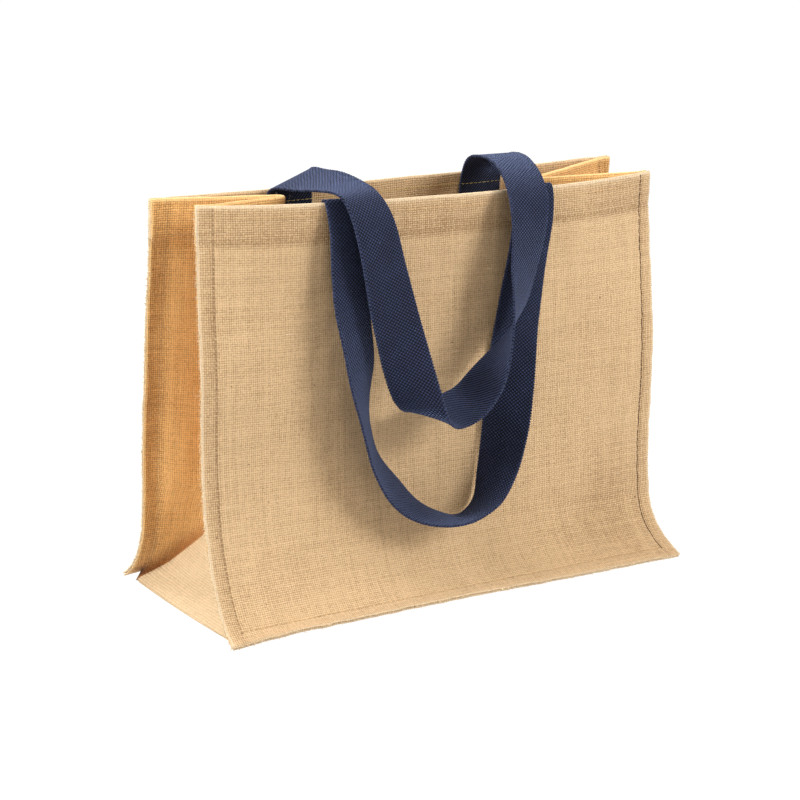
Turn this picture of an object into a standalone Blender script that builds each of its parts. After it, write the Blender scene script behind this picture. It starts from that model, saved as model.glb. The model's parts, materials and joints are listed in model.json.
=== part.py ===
"""A burlap shopping bag that stands open, with its side gussets folded in.

Five cut pieces make it: a front panel, a back panel, one long strip that runs
down the left side, under the base and up the right side, and two webbing
handles, each sewn inside the rim of its own panel. Both handles fall forward
over the front rim and hang in front of the front panel.

Metres throughout. +X is the bag's right, +Y runs from the front panel to the
back panel, +Z is up, and the origin is on the surface under the bag's middle.
"""
import bmesh
import bpy
import numpy as np
from mathutils import Vector

MM = 0.001
OBJECT = "burlap_bag"

# ---- Cut sizes
PANEL_WIDTH = 420 * MM          # front and back panel, seam fins included
PANEL_HEIGHT = 336 * MM         # along the cloth, lower edge to folded rim
FIN = 12 * MM                   # outward seam, from the stitches to the edge
CLOTH = 1.6 * MM                # one layer of burlap
HEM = 29 * MM                   # top edge folded to the inside
HEM_STEP = 6 * MM               # height over which the second layer begins
WEBBING = 1.8 * MM              # thickness of a handle's webbing
WEBBING_WIDTH = 38 * MM
GAP = 0.3 * MM                  # between pieces that touch
BURLAP_COLOUR = (0.55, 0.38, 0.20)
WEBBING_COLOUR = (0.015, 0.022, 0.075)

# ---- How the bag stands
BASE_DEPTH = 197 * MM           # front panel's lower edge to the back panel's
PANEL_FOOT = 2 * CLOTH + 2 * GAP    # a fin is a panel with the strip under it

# Slope of a panel's side edges from level, by height along the cloth.
FRONT_SLOPES = (
    # height mm, left edge deg, right edge deg
    (0, 26, 22),
    (20, 48, 26),
    (45, 63, 53),
    (70, 68, 82),
    (100, 78, 86),
    (170, 89, 87),
    (250, 81, 86),
    (336, 89, 85),
)
BACK_SLOPES = (
    (0, 24, 38),
    (20, 39, 51),
    (45, 58, 64),
    (70, 79, 73),
    (100, 84, 77),
    (170, 82, 79),
    (250, 85, 81),
    (336, 90, 86),
)

# How far each side edge bows outwards from those slopes, and how far each
# lower edge's fin lifts clear of the surface between the corners.
SIDE_BOWS = (
    # height mm, front left, front right, back left, back right mm
    (0, 0, 0, 0, 0),
    (35, 0, 0.0, 3.0, 0),
    (60, 0, 0.0, 4.4, 1),
    (90, 0, 0.0, 5.4, 2),
    (120, 0, 0.5, 7.2, 3),
    (150, 0, 2.5, 8.3, 4),
    (190, 0, 4.2, 8.4, 4),
    (225, 0, 2.6, 8.0, 4),
    (255, 0, 0.0, 6.8, 3),
    (280, 0.5, -2.0, 3.6, 2),
    (305, 1.0, -3.6, 1.8, 1),
    (336, 0, -1.5, 0.8, 0),
)
LIFT_FADE = 20 * MM             # cloth over which that lift dies away
FOOT_LIFTS = (
    # place mm, lift mm
    (-210, 0),
    (-198, 1.4),
    (-176, 3.0),
    (-154, 4.0),
    (0, 4.2),
    (44, 3.0),
    (110, 1.3),
    (176, 0.9),
    (198, 0),
)

# How each rim has moved, in mm: right, then forward and down at its middle.
# Spread is how far each lower corner has pulled out past the cut width.
RIM_SHIFTS = {
    # panel: (right, forward, down, spread)
    "front": (9, 18, 3, 2),
    "back": (-2, 6, 1, -2),
}

# Heights along the cloth, in mm, that get a row of faces above the corners.
ROW_HEIGHTS = (
    15, 20, 26, 34, 43, 53, 64, 76, 89, 104, 124, 150, 182, 216, 250, 280, 303, 309, 322, 336,
)
PANEL_COLUMNS = 18              # between the two side seams
BASE_ROWS = 12

# Each gusset folds inwards: a triangle climbs from the base's end to an apex,
# and a crease goes on from there up to the rim.
GUSSETS = (
    # side, apex (x, y, z) mm, crease at the rim (x, y, z) mm
    (-1, (-138, 4, 76), (-118, -1, 319)),
    (+1, (144, -4, 74), (115, -20, 318)),
)
BASE_HALF_LENGTH = 197 * MM     # to where the base turns up at its corners
BASE_BULGE = 2 * MM             # its ends reach further by this at mid depth
CORNER_REACH = 8 * MM           # cloth at each end of a lower seam that turns up
FOOT = 75 * MM                  # half of the base's depth that lies flat
DROP = 12 * MM                  # cloth from a lower seam down to the surface
LIP = 3 * MM                    # round of the fold between base and gusset
CORNER_LIFT = 8 * MM            # and where that fold meets a seam's corner
LOW_LIFT = 2 * MM               # less than that right in the corner
LIFT_SHARE = 0.02               # of a gusset's triangle, over which they rise
TUCK = (6 * MM, 9 * MM)         # the fold's corner is drawn out under the fins
TUCK_SHARE = 0.25               # of the triangle, over which that fades
TUCK_REACH = 25 * MM            # and along the base
FOLD_EASE = 0.35                # how softly the triangle's sides leave the surface
CREASE = 2.5 * MM               # half of the soft width of the rim-high crease
HALF_GUSSET = 90 * MM           # cloth from a side seam to the crease
MOST_SLACK = 11 * MM            # most that slack cloth stands off its chord
SLACK_TOP = 0.55                # share of the height above which the slack fades
EDGE_INSET = 0.5 * MM           # the strip's edge behind the panel's
FAN = 3 * MM                    # seam length over which the fin turns a corner
GUSSET_CELLS = 5                # faces from a seam to a crease
MIDDLE_CELLS = 6                # faces between the two creases

# The handles: where the webbing's middle runs, and which way its outer edge
# lies from there (the edge farther from the bag's middle at the sewn ends).
SEWN = {
    # handle: (left end, right end) mm across its panel
    "front_handle": (-92, 77),
    "back_handle": (-95, 79),
}
SEWN_HEIGHTS = (311, 321, 332)      # mm up the panel's cloth, inside the hem
SEWN_GAP = 0.5 * MM             # flat webbing behind a panel that curves a little
REST_GAP = 2 * MM               # webbing that is only draped stands off this much
RIM_TURN = (0, 45, 90, 135, 180)    # degrees round the rim, from inside to outside
FRONT_RUN = (
    # place, right, back, up mm, outer edge's turn and lift deg
    ("below the left rim", -83, -53, 300, 180, 0),
    ("left leg", -85, -56, 270, 186, 1),
    ("left leg", -86, -60, 235, 198, -1),
    ("left leg", -83, -65, 200, 207, -3),
    ("left leg, turning edge on", -81, -66, 170, 223, -5),
    ("left leg, edge on", -76, -67, 140, 236, -7),
    ("left bend", -69, -67, 118, 237, -13),
    ("left bend", -53, -69, 93, 236, -20),
    ("bottom", -32, -72, 74, 249, -15),
    ("bottom", -10, -76, 65, 260, -2),
    ("lowest place", 12, -77, 63, 264, 13),
    ("right bend", 28, -76, 71, 269, 8),
    ("right bend", 41, -72, 93, 286, -1),
    ("right leg", 50, -69, 123, 306, -4),
    ("right leg", 58, -64, 160, 328, -7),
    ("right leg", 67, -57, 198, 345, -12),
    ("right leg", 77, -52, 239, 358, -14),
    ("right leg", 83, -52, 276, 361, -12),
    ("below the right rim", 86, -52, 300, 361, -6),
)
BACK_RUN = (
    ("above the left rim", -98, 15, 330, 183, -23),
    ("over the mouth", -91, -8, 331, 192, -21),
    ("over the mouth", -83, -32, 330, 194, -8),
    ("over the front rim", -76, -51, 325, 192, 0),
    ("left leg", -71, -61, 310, 190, -4),
    ("left leg", -68, -66, 294, 188, -8),
    ("left leg", -64, -69, 272, 184, -12),
    ("left leg", -59, -72, 245, 177, -13),
    ("left leg", -53, -76, 215, 166, -13),
    ("left leg", -47, -80, 188, 152, -13),
    ("left bend", -41, -84, 167, 133, -10),
    ("left bend", -34, -85, 155, 115, 0),
    ("bottom", -22, -81, 152, 107, 18),
    ("bottom", -7, -78, 153, 105, 28),
    ("bottom", 10, -77, 158, 102, 24),
    ("right bend", 24, -77, 171, 98, 18),
    ("right bend", 37, -78, 189, 80, 5),
    ("right leg, edge on", 49, -78, 210, 60, -7),
    ("right leg", 57, -77, 231, 40, -13),
    ("right leg", 64, -72, 258, 25, -11),
    ("right leg", 70, -69, 288, 11, -9),
    ("over the front rim", 74, -59, 317, 0, -8),
    ("over the mouth", 77, -40, 332, -4, -5),
    ("over the mouth", 79, -18, 338, -3, -2),
    ("above the right rim", 78, 3, 335, -1, 0),
)
WEBBING_STEP = 9 * MM           # between rows of faces along a handle
PROBE = 0.5 * MM                # either side of a point, to read a panel's slope


def smooth(t):
    t = np.clip(t, 0.0, 1.0)
    return t * t * (3 - 2 * t)


def mix(a, b, t):
    return a + (b - a) * t


def unit(v):
    return v / np.linalg.norm(v)


# ---- The panels as surfaces
def edge_curve(slopes, column):
    """(heights, run, rise) of a panel's side edge, summed from its slopes."""
    rows = np.array(slopes, float)
    heights = np.linspace(0, PANEL_HEIGHT, 337)
    middles = (heights[1:] + heights[:-1]) / 2
    slope = np.radians(np.interp(middles, rows[:, 0] * MM, rows[:, column]))
    step = np.diff(heights)
    run = np.concatenate([[0], np.cumsum(step * np.cos(slope))])
    rise = np.concatenate([[0], np.cumsum(step * np.sin(slope))])
    return heights, run, rise


def read_off(table, place, column):
    """A table's value at a place between its rows, in metres."""
    rows = np.array(table, float) * MM
    return np.interp(place, rows[:, 0], rows[:, column])


class Panel:
    """A panel's outer face, read by place across and by height along the cloth."""

    def __init__(self, name, face, slopes):
        self.face = face                # -1 for the front panel, +1 for the back
        self.left = edge_curve(slopes, 1)
        self.right = edge_curve(slopes, 2)
        self.bows = (1, 2) if face < 0 else (3, 4)      # columns of SIDE_BOWS
        self.shift, self.forward, self.down, self.spread = (s * MM for s in RIM_SHIFTS[name])

    def outer(self, across, height):
        """A point of the outer face: run is level and rise is upwards."""
        sides = []
        for heights, run, rise in (self.left, self.right):
            sides.append((np.interp(height, heights, run), np.interp(height, heights, rise)))
        aside = 2 * across / PANEL_WIDTH    # -1 at the left edge, 1 at the right
        run, rise = (mix(left, right, (aside + 1) / 2) for left, right in zip(*sides))
        up = height / PANEL_HEIGHT
        belly = (1 - abs(aside) ** 3) * up ** 1.5
        x = across + self.shift * up + aside * self.spread * (1 - up)
        bow = read_off(SIDE_BOWS, height, self.bows[int(aside > 0)]) * smooth(2 * abs(aside) - 1)
        y = self.face * (BASE_DEPTH / 2 - run + bow) - self.forward * belly
        lift = read_off(FOOT_LIFTS, across, 1) * max(1 - height / LIFT_FADE, 0.0) ** 2
        return np.array([x, y, PANEL_FOOT + rise + lift - self.down * belly])

    def inward(self, across, height):
        """The unit direction from the outer face into the bag."""
        low, high = max(height - PROBE, 0.0), min(height + PROBE, PANEL_HEIGHT)
        along = self.outer(across + PROBE, height) - self.outer(across - PROBE, height)
        upward = self.outer(across, high) - self.outer(across, low)
        return unit(np.cross(upward, along) * -self.face)

    def at(self, across, height, depth):
        """A point this far inside the outer face."""
        return self.outer(across, height) + depth * self.inward(across, height)


FRONT = Panel("front", -1, FRONT_SLOPES)
BACK = Panel("back", +1, BACK_SLOPES)


def hem_share(height):
    """0 where the cloth is one layer, 1 where the hem doubles it."""
    return float(smooth((height - (PANEL_HEIGHT - HEM - HEM_STEP / 2)) / HEM_STEP))


def cloth_at(height):
    return CLOTH * (1 + hem_share(height))


def panel_rows(panel):
    """Rows of points from the lower edge up, and each row's share of hem."""
    seam = PANEL_WIDTH / 2 - FIN
    middle = np.linspace(-seam, seam, PANEL_COLUMNS + 1)
    fin = np.array([PANEL_WIDTH / 2, PANEL_WIDTH / 2 - FIN / 2])
    columns = np.concatenate([-fin, middle, fin[::-1]])
    heights = [0.0, FIN / 2, FIN] + [h * MM for h in ROW_HEIGHTS]
    rows = [[panel.outer(across, height) for across in columns] for height in heights]
    return rows, [hem_share(height) for height in heights]


# ---- The strip: left gusset, base and right gusset in one length of cloth
def behind(panel, across, height):
    """A point of the strip's outer face where it lies behind a panel's fin."""
    return panel.at(across, height, 2 * cloth_at(height) + GAP)


def fin_points(panel, edge, seam):
    """Edge, middle and seam of the strip's fin, as (across, height) pairs."""
    (edge_x, edge_h), (seam_x, seam_h) = edge, seam
    return [behind(panel, mix(edge_x, seam_x, t), mix(edge_h, seam_h, t)) for t in (0, 0.5, 1)]


def slack_curve(start, end, length, face, ease):
    """Points between two ends, bowed into the bag by the cloth's spare length."""
    chord = end - start
    span = np.linalg.norm(chord)
    rise = np.sqrt(3 / 8 * span * max(length - span, 0.0))      # of a flat arc
    rise = min(rise, MOST_SLACK) * ease
    side = unit(np.array([chord[1], -chord[0], 0.0]))
    side = side if side[1] * face > 0 else -side
    shares = np.arange(1, GUSSET_CELLS) / GUSSET_CELLS
    bows = 27 / 4 * shares * (1 - shares) ** 2      # 1 at a third of the way
    return [start + chord * t + side * rise * bow for t, bow in zip(shares, bows)]


def whole_row(front_fin, front_foot, middle, back_foot, back_fin, length, ease):
    """One row across the strip, from the front fin's edge to the back fin's."""
    front = slack_curve(front_foot, front_fin[-1], length, -1, ease)
    back = slack_curve(back_foot, back_fin[-1], length, +1, ease)
    return front_fin + front[::-1] + [front_foot] + middle + [back_foot] + back + back_fin[::-1]


def middle_points(front_foot, back_foot, bulge, sink):
    """Points between the two creases, bowed outwards and sunk at mid depth."""
    shares = np.arange(1, MIDDLE_CELLS) / MIDDLE_CELLS
    points = []
    for t in shares:
        arch = 4 * t * (1 - t)
        points.append(mix(front_foot, back_foot, t) + arch * np.array([bulge, 0.0, -sink]))
    return points


def gusset_row(gusset, height):
    """The strip's row whose seams are at this height on the panels."""
    side, apex, top = gusset[0], np.array(gusset[1]) * MM, np.array(gusset[2]) * MM
    start = np.array([side * (BASE_HALF_LENGTH + BASE_BULGE), 0.0, 0.0])
    lower, upper = np.linalg.norm(apex - start), np.linalg.norm(top - apex)
    along = (height - FIN) / (PANEL_HEIGHT - FIN) * (lower + upper)
    q = min(along / lower, 1.0)
    t = max(along - lower, 0.0) / upper
    lift = (1 - q) * (1 - np.exp(-q / LIFT_SHARE))
    tuck = 1 - smooth(q / TUCK_SHARE)
    corner = mix(CORNER_LIFT, LOW_LIFT, tuck)
    feet = []
    for face in (-1, +1):
        out, deep = BASE_HALF_LENGTH + TUCK[0] * tuck, FOOT + TUCK[1] * tuck
        foot = np.array([side * out, face * deep, 0.0])
        half = np.array([0.0, face * CREASE, 0.0])
        point = mix(foot, apex + half, q)
        point[2] = apex[2] * mix(q, smooth(q), FOLD_EASE) + corner * lift
        feet.append(mix(point, top + half, t))
    bulge = side * BASE_BULGE * (1 - q) ** 2
    middle = middle_points(feet[0], feet[1], bulge, (corner - LIP) * lift)
    edge, seam = side * (PANEL_WIDTH / 2 - EDGE_INSET), side * (PANEL_WIDTH / 2 - FIN)
    edge_height = mix(EDGE_INSET, height, min((height - FIN) / FAN, 1.0))
    fins = [fin_points(p, (edge, edge_height), (seam, height)) for p in (FRONT, BACK)]
    ease = q * (1 - smooth((height / PANEL_HEIGHT - SLACK_TOP) / (1 - SLACK_TOP)))
    return whole_row(fins[0], feet[0], middle, feet[1], fins[1], mix(DROP, HALF_GUSSET, q), ease)


def base_row(across):
    """The strip's row that crosses the base at this place."""
    fins = [fin_points(p, (across, EDGE_INSET), (across, FIN)) for p in (FRONT, BACK)]
    reach = PANEL_WIDTH / 2 - FIN - CORNER_REACH
    deep = FOOT + TUCK[1] * smooth((abs(across) - reach + TUCK_REACH) / TUCK_REACH)
    feet = [np.array([across, face * deep, 0.0]) for face in (-1, +1)]
    middle = middle_points(feet[0], feet[1], 0.0, 0.0)
    return whole_row(fins[0], feet[0], middle, feet[1], fins[1], 0.0, 0.0)


def strip_rows():
    """Rows from the left rim down, along the base and up to the right rim."""
    heights = [FIN, FIN + FAN / 2] + [h * MM for h in ROW_HEIGHTS]
    shares = [hem_share(height) for height in heights]
    left = [gusset_row(GUSSETS[0], height) for height in heights]
    right = [gusset_row(GUSSETS[1], height) for height in heights]
    reach = PANEL_WIDTH / 2 - FIN - CORNER_REACH
    base = [base_row(across) for across in np.linspace(-reach, reach, BASE_ROWS + 1)]
    rows = left[::-1] + base + right
    return rows, shares[::-1] + [0.0] * len(base) + shares


# ---- The handles as ribbons
def edge_direction(turn, lift):
    """Unit direction of a handle's outer edge, from two angles in degrees."""
    turn, lift = np.radians((turn, lift))
    return np.array([np.cos(lift) * np.cos(turn), np.cos(lift) * np.sin(turn), np.sin(lift)])


def sewn_end(panel, across, side, over_the_rim):
    """(middle, outer edge's direction) pairs from a sewn end up to the rim."""
    inner = 2 * CLOTH + SEWN_GAP + WEBBING / 2
    half = side * WEBBING_WIDTH / 2

    def pair(height, depth):
        edge, other = (panel.at(across + s, height, depth) for s in (half, -half))
        return (edge + other) / 2, unit(edge - other)

    pairs = [pair(height * MM, inner) for height in SEWN_HEIGHTS]
    if over_the_rim:
        outer = -(REST_GAP + WEBBING / 2)
        radius = (inner - outer) / 2
        for angle in np.radians(RIM_TURN):
            middle, outward = pair(PANEL_HEIGHT, (inner + outer) / 2 + radius * np.cos(angle))
            rise = np.array([0.0, 0.0, radius * np.sin(angle)])
            pairs.append((middle + rise, outward))
    return pairs


def through(values, at, places):
    """Smooth values at the places, passing through the given ones."""
    slopes = np.gradient(values, at, axis=0)
    i = np.clip(np.searchsorted(at, places) - 1, 0, len(at) - 2)
    span = (at[i + 1] - at[i])[:, None]
    t = (places - at[i])[:, None] / span
    ends = (2 * t + 1) * (1 - t) ** 2 * values[i] + t * t * (3 - 2 * t) * values[i + 1]
    return ends + t * (1 - t) * span * ((1 - t) * slopes[i] - t * slopes[i + 1])


def ribbon_rows(name, panel, run, over_the_rim):
    """Rows across a handle: its outer edge, its middle and its inner edge."""
    left, right = (across * MM for across in SEWN[name])
    pairs = sewn_end(panel, left, -1, over_the_rim)
    for _, x, y, z, turn, lift in run:
        pairs.append((np.array([x, y, z]) * MM, edge_direction(turn, lift)))
    pairs += sewn_end(panel, right, +1, over_the_rim)[::-1]
    middles, edges = (np.array(part) for part in zip(*pairs))
    at = np.concatenate([[0], np.cumsum(np.linalg.norm(np.diff(middles, axis=0), axis=1))])
    places = np.unique(np.concatenate([at, np.arange(0, at[-1], WEBBING_STEP)]))
    apart = np.diff(places) > WEBBING_STEP / 4
    places = places[np.concatenate([[True], apart])]
    middles, edges = through(middles, at, places), through(edges, at, places)
    half = WEBBING_WIDTH / 2
    return [[m + unit(e) * half, m, m - unit(e) * half] for m, e in zip(middles, edges)]


# ---- From rows of points to solids
def sheet(name, rows, outward, material, collection):
    """A grid bent to the rows of points, its faces turned to an outward point."""
    bm = bmesh.new()
    bmesh.ops.create_grid(bm, x_segments=len(rows[0]) - 1, y_segments=len(rows) - 1, size=0.5)
    in_rows = sorted(bm.verts, key=lambda v: (round(v.co.y, 4), round(v.co.x, 4)))
    points = [point for row in rows for point in row]
    for vert, point in zip(in_rows, points):
        vert.co = point
    numbers = [vert.index for vert in in_rows]
    bm.normal_update()
    bm.faces.ensure_lookup_table()
    probe = min(bm.faces, key=lambda f: (f.calc_center_median() - outward).length)
    if probe.normal.dot(outward - probe.calc_center_median()) < 0:
        bmesh.ops.reverse_faces(bm, faces=bm.faces[:])
    mesh = bpy.data.meshes.new(name)
    bm.to_mesh(mesh)
    bm.free()
    mesh.materials.append(material)
    mesh.shade_smooth()
    obj = bpy.data.objects.new(name, mesh)
    collection.objects.link(obj)
    return obj, numbers


def thicken(obj, thickness, offset):
    solid = obj.modifiers.new("thickness", "SOLIDIFY")
    solid.thickness = thickness
    solid.offset = offset
    solid.use_even_offset = True
    solid.use_quality_normals = True
    return solid


def hemmed_cloth(name, rows, shares, outward, material, collection):
    """Burlap that keeps its outer face and is two layers thick in the hem."""
    obj, numbers = sheet(name, rows, outward, material, collection)
    hem = obj.vertex_groups.new(name="hem")
    across = len(rows[0])
    for row, share in enumerate(shares):
        hem.add(numbers[row * across:(row + 1) * across], share, "REPLACE")
    solid = thicken(obj, 2 * CLOTH, -1)
    solid.vertex_group = hem.name
    solid.thickness_vertex_group = 0.5
    return obj


def fabric(name, colour, roughness):
    material = bpy.data.materials.new(name)
    material.use_nodes = True
    shader = material.node_tree.nodes["Principled BSDF"]
    shader.inputs["Base Color"].default_value = (*colour, 1)
    shader.inputs["Roughness"].default_value = roughness
    shader.inputs["Metallic"].default_value = 0
    return material


def webbing(name, rows, outward, material, collection):
    obj, _ = sheet(name, rows, outward, material, collection)
    thicken(obj, WEBBING, 0)
    return obj


def main():
    for obj in list(bpy.data.objects):
        bpy.data.objects.remove(obj)
    bag = bpy.data.collections.new(OBJECT)
    bpy.context.scene.collection.children.link(bag)
    front, back, below = Vector((0, -1, 0.2)), Vector((0, 1, 0.2)), Vector((0, 0, -1))
    pieces = (
        ("front_panel", panel_rows(FRONT), front),
        ("back_panel", panel_rows(BACK), back),
        ("side_and_base_strip", strip_rows(), below),
    )
    for name, (rows, shares), outward in pieces:
        hemmed_cloth(name, rows, shares, outward, fabric(name, BURLAP_COLOUR, 0.9), bag)
    handles = (
        ("front_handle", ribbon_rows("front_handle", FRONT, FRONT_RUN, True)),
        ("back_handle", ribbon_rows("back_handle", BACK, BACK_RUN, False)),
    )
    for name, rows in handles:
        webbing(name, rows, front, fabric(name, WEBBING_COLOUR, 0.7), bag)


main()
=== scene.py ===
# %% [markdown]
# # A burlap shopping bag
#
# This lesson dresses a plain CAD model of a burlap bag. The bag is five pieces
# of cloth: two panels, one long strip that is both gussets and the base, and
# two webbing handles. The CAD model holds their true hang but has no weave,
# no stitches and only a coarse mesh, so each piece is drawn again here from
# the same rules, finely enough for its small waves and puckers to be real.

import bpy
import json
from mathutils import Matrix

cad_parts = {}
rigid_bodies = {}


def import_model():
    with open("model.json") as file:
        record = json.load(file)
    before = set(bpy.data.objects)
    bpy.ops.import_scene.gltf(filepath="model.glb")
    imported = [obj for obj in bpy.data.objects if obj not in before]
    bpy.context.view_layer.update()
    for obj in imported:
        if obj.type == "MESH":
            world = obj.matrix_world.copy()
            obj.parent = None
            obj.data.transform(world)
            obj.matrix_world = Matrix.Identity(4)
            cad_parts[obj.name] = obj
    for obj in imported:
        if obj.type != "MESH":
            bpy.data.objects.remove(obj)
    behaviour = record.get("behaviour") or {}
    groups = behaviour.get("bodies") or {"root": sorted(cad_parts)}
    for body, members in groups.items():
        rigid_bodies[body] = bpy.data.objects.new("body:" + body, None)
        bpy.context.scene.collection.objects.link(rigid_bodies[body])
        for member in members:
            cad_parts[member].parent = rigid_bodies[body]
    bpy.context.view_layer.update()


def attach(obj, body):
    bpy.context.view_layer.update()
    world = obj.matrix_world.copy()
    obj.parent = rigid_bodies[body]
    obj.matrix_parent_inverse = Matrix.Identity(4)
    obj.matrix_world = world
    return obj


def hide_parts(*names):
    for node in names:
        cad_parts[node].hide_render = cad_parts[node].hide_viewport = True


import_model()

# %% Tools and units
import json
import math

import bpy
import numpy as np
from mathutils import Matrix, Vector

MM = 0.001

# %% [markdown]
# ## Camera
#
# A photograph is matched before anything is modelled to it. The camera looks
# at the bag from its left and a little above. Its distance and lens could be
# mended by eye, but a wrong lens is easily taken for a wrong shape, so they
# were worked out from the corners and edges of the two panels.

# %% Put the camera where the photograph was taken
CAMERA_TURN = math.radians(32.51)       # to the left of straight ahead
CAMERA_RISE = math.radians(14.90)
CAMERA_DISTANCE = 1.8436
CAMERA_TARGET = np.array([-0.0050, 0.0, 0.1437])
CAMERA_ROLL = math.radians(0.534)       # the picture is not quite level
FOCAL_SHARE = 2280.6 / 800              # focal length over the picture's width
SENSOR = 36                             # mm


def camera_axes():
    """Right, up and back, for a camera that looks at the bag and rolls a little."""
    flat = math.cos(CAMERA_RISE)
    back = np.array([-math.sin(CAMERA_TURN) * flat, -math.cos(CAMERA_TURN) * flat, math.sin(CAMERA_RISE)])
    right = np.cross(-back, [0, 0, 1])
    right /= np.linalg.norm(right)
    up = np.cross(right, -back)
    c, s = math.cos(CAMERA_ROLL), math.sin(CAMERA_ROLL)
    return c * right + s * up, c * up - s * right, back


def make_camera():
    """A camera at the photograph's place, made the scene's own."""
    data = bpy.data.cameras.new("camera")
    data.sensor_width = SENSOR
    data.lens = SENSOR * FOCAL_SHARE
    camera = bpy.data.objects.new("camera", data)
    bpy.context.scene.collection.objects.link(camera)
    right, up, back = camera_axes()
    place = CAMERA_TARGET + back * CAMERA_DISTANCE
    rows = [[right[i], up[i], back[i], place[i]] for i in range(3)]
    camera.matrix_world = Matrix(rows + [[0, 0, 0, 1]])
    bpy.context.scene.camera = camera
    return camera


camera = make_camera()
print("camera at", [round(v, 3) for v in camera.matrix_world.translation])

# %% [markdown]
# ## The panels' rule
#
# A burlap panel hardly stretches, so its shape follows from how steeply it
# stands at each height. Near the surface it lies out almost flat and higher
# up it stands nearly upright. The two side edges have a column of slopes
# each, and the cloth between them blends one into the other. A short table
# of slopes is easier to mend than a cage of points, and keeps the cloth's size.

# %% Sizes of the cut pieces
PANEL_WIDTH = 420 * MM                  # both panels, seam fins included
PANEL_HEIGHT = 336 * MM                 # along the cloth, up to the folded rim
FIN = 12 * MM                           # outward seam, from stitches to cut edge
CLOTH = 1.6 * MM                        # one layer in the CAD model
LAYER = 1.45 * MM                       # one layer as it is drawn here
HEM = 29 * MM                           # top edge folded to the inside
HEM_STEP = 6 * MM                       # height over which the second layer begins
HEM_LINE = PANEL_HEIGHT - 26 * MM       # where the hem is stitched down
EDGE_LINE = PANEL_HEIGHT - 8 * MM       # a second row that holds the handles
WEBBING = 1.8 * MM                      # thickness of a handle
WEBBING_WIDTH = 38 * MM
GAP = 0.3 * MM                          # between pieces that touch
BASE_DEPTH = 197 * MM                   # front panel's lower edge to the back one's
PANEL_FOOT = 2 * CLOTH + 2 * GAP        # a fin is a panel with the strip under it

FRONT_SLOPES = (
    # height mm, left edge deg, right edge deg
    (0, 26, 22),
    (20, 48, 26),
    (45, 63, 53),
    (70, 68, 82),
    (100, 78, 86),
    (170, 89, 87),
    (250, 81, 86),
    (336, 89, 85),
)
BACK_SLOPES = (
    # height mm, left edge deg, right edge deg
    (0, 24, 38),
    (20, 39, 51),
    (45, 58, 64),
    (70, 79, 73),
    (100, 84, 77),
    (170, 82, 79),
    (250, 85, 81),
    (336, 90, 86),
)

# %% [markdown]
# Two more tables bend that rule where this bag has been handled. The stiff
# side seams bow outwards between foot and rim, and the lower edges stand off
# the surface a little between the corners. Both could be sculpted, but then
# the strip and the stitches would no longer find the seam by themselves.

# %% How the side seams bow and the lower edges lift
SIDE_BOWS = (
    # height mm, front left, front right, back left, back right mm outwards
    (0, 0, 0, 0, 0),
    (35, 0, 0, 3.0, 0),
    (60, 0, 0, 4.4, 1),
    (90, 0, 0, 5.4, 2),
    (120, 0, 0.5, 7.2, 3),
    (150, 0, 2.5, 8.3, 4),
    (190, 0, 4.2, 8.4, 4),
    (225, 0, 2.6, 8.0, 4),
    (255, 0, 0, 6.8, 3),
    (280, 0.5, -2.0, 3.6, 2),
    (305, 1.0, -3.6, 1.8, 1),
    (336, 0, -1.5, 0.8, 0),
)
LIFT_FADE = 20 * MM                     # cloth over which the lift dies away
FOOT_LIFTS = (
    # place mm, lift mm
    (-210, 0),
    (-198, 1.4),
    (-176, 3.0),
    (-154, 4.0),
    (0, 4.2),
    (44, 3.0),
    (110, 1.3),
    (176, 0.9),
    (198, 0),
)
RIM_SHIFTS = {
    # panel: (right, forward, down, spread of the lower corners) mm
    "front": (9, 18, 3, 2),
    "back": (-2, 6, 1, -2),
}
print("rows in the tables:", [len(t) for t in (FRONT_SLOPES, BACK_SLOPES, SIDE_BOWS, FOOT_LIFTS)])


# %% Small helpers for shapes
def smooth(t):
    """From 0 to 1 with a soft start and a soft end."""
    t = np.clip(t, 0.0, 1.0)
    return t * t * (3 - 2 * t)


def mix(a, b, t):
    return a + (b - a) * t


def unit(v):
    return v / np.maximum(np.linalg.norm(v, axis=-1, keepdims=True), 1e-12)


def ridge(distance, width):
    """1 on a line, falling to nothing about two widths away from it."""
    return np.exp(-((distance / width) ** 2))


def hem_share(height):
    """How far the hem's second layer has begun at this height."""
    return smooth((np.asarray(height) - (PANEL_HEIGHT - HEM - HEM_STEP / 2)) / HEM_STEP)


# %% [markdown]
# ## Small unevenness
#
# Real cloth is never smooth: it keeps soft dents from being packed flat, and
# thread pulled tight gathers it into small puckers beside each seam. Plane
# waves in random directions add up to believable dents, and the same seed
# gives the same dents each time.


# %% Soft waves and seam puckers
def soft_waves(seed, count, shortest, longest):
    """A height for each place: random plane waves added up, about 1 high."""
    draw = np.random.default_rng(seed)
    turns = draw.uniform(0, 2 * np.pi, count)
    lengths = draw.uniform(shortest, longest, count)
    phases = draw.uniform(0, 2 * np.pi, count)

    def height(u, v):
        total = 0.0
        for turn, length, phase in zip(turns, lengths, phases):
            total = total + np.sin(2 * np.pi * (u * np.cos(turn) + v * np.sin(turn)) / length + phase)
        return total / math.sqrt(count)

    return height


broad_dents = soft_waves(3, 9, 60 * MM, 170 * MM)
small_dents = soft_waves(5, 14, 14 * MM, 34 * MM)
fin_waves = soft_waves(11, 6, 18 * MM, 60 * MM)


def puckers(along, away, seed):
    """Little gathers beside a seam, by place along it and distance from it."""
    drift = 2.2 * np.sin(along / (23 * MM) + seed) + 1.4 * np.sin(along / (9.1 * MM) + 2 * seed)
    return np.sin(along / (1.55 * MM) + drift) * np.exp(-away / (5 * MM))


# %% [markdown]
# ## A panel as a surface
#
# One object answers every question about a panel: where its outer face is,
# which way is inwards, and how far the uneven cloth stands off the smooth
# rule. The strip's seam fins and the handles' sewn ends ask it too, so all
# that is sewn together stays together.


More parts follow.
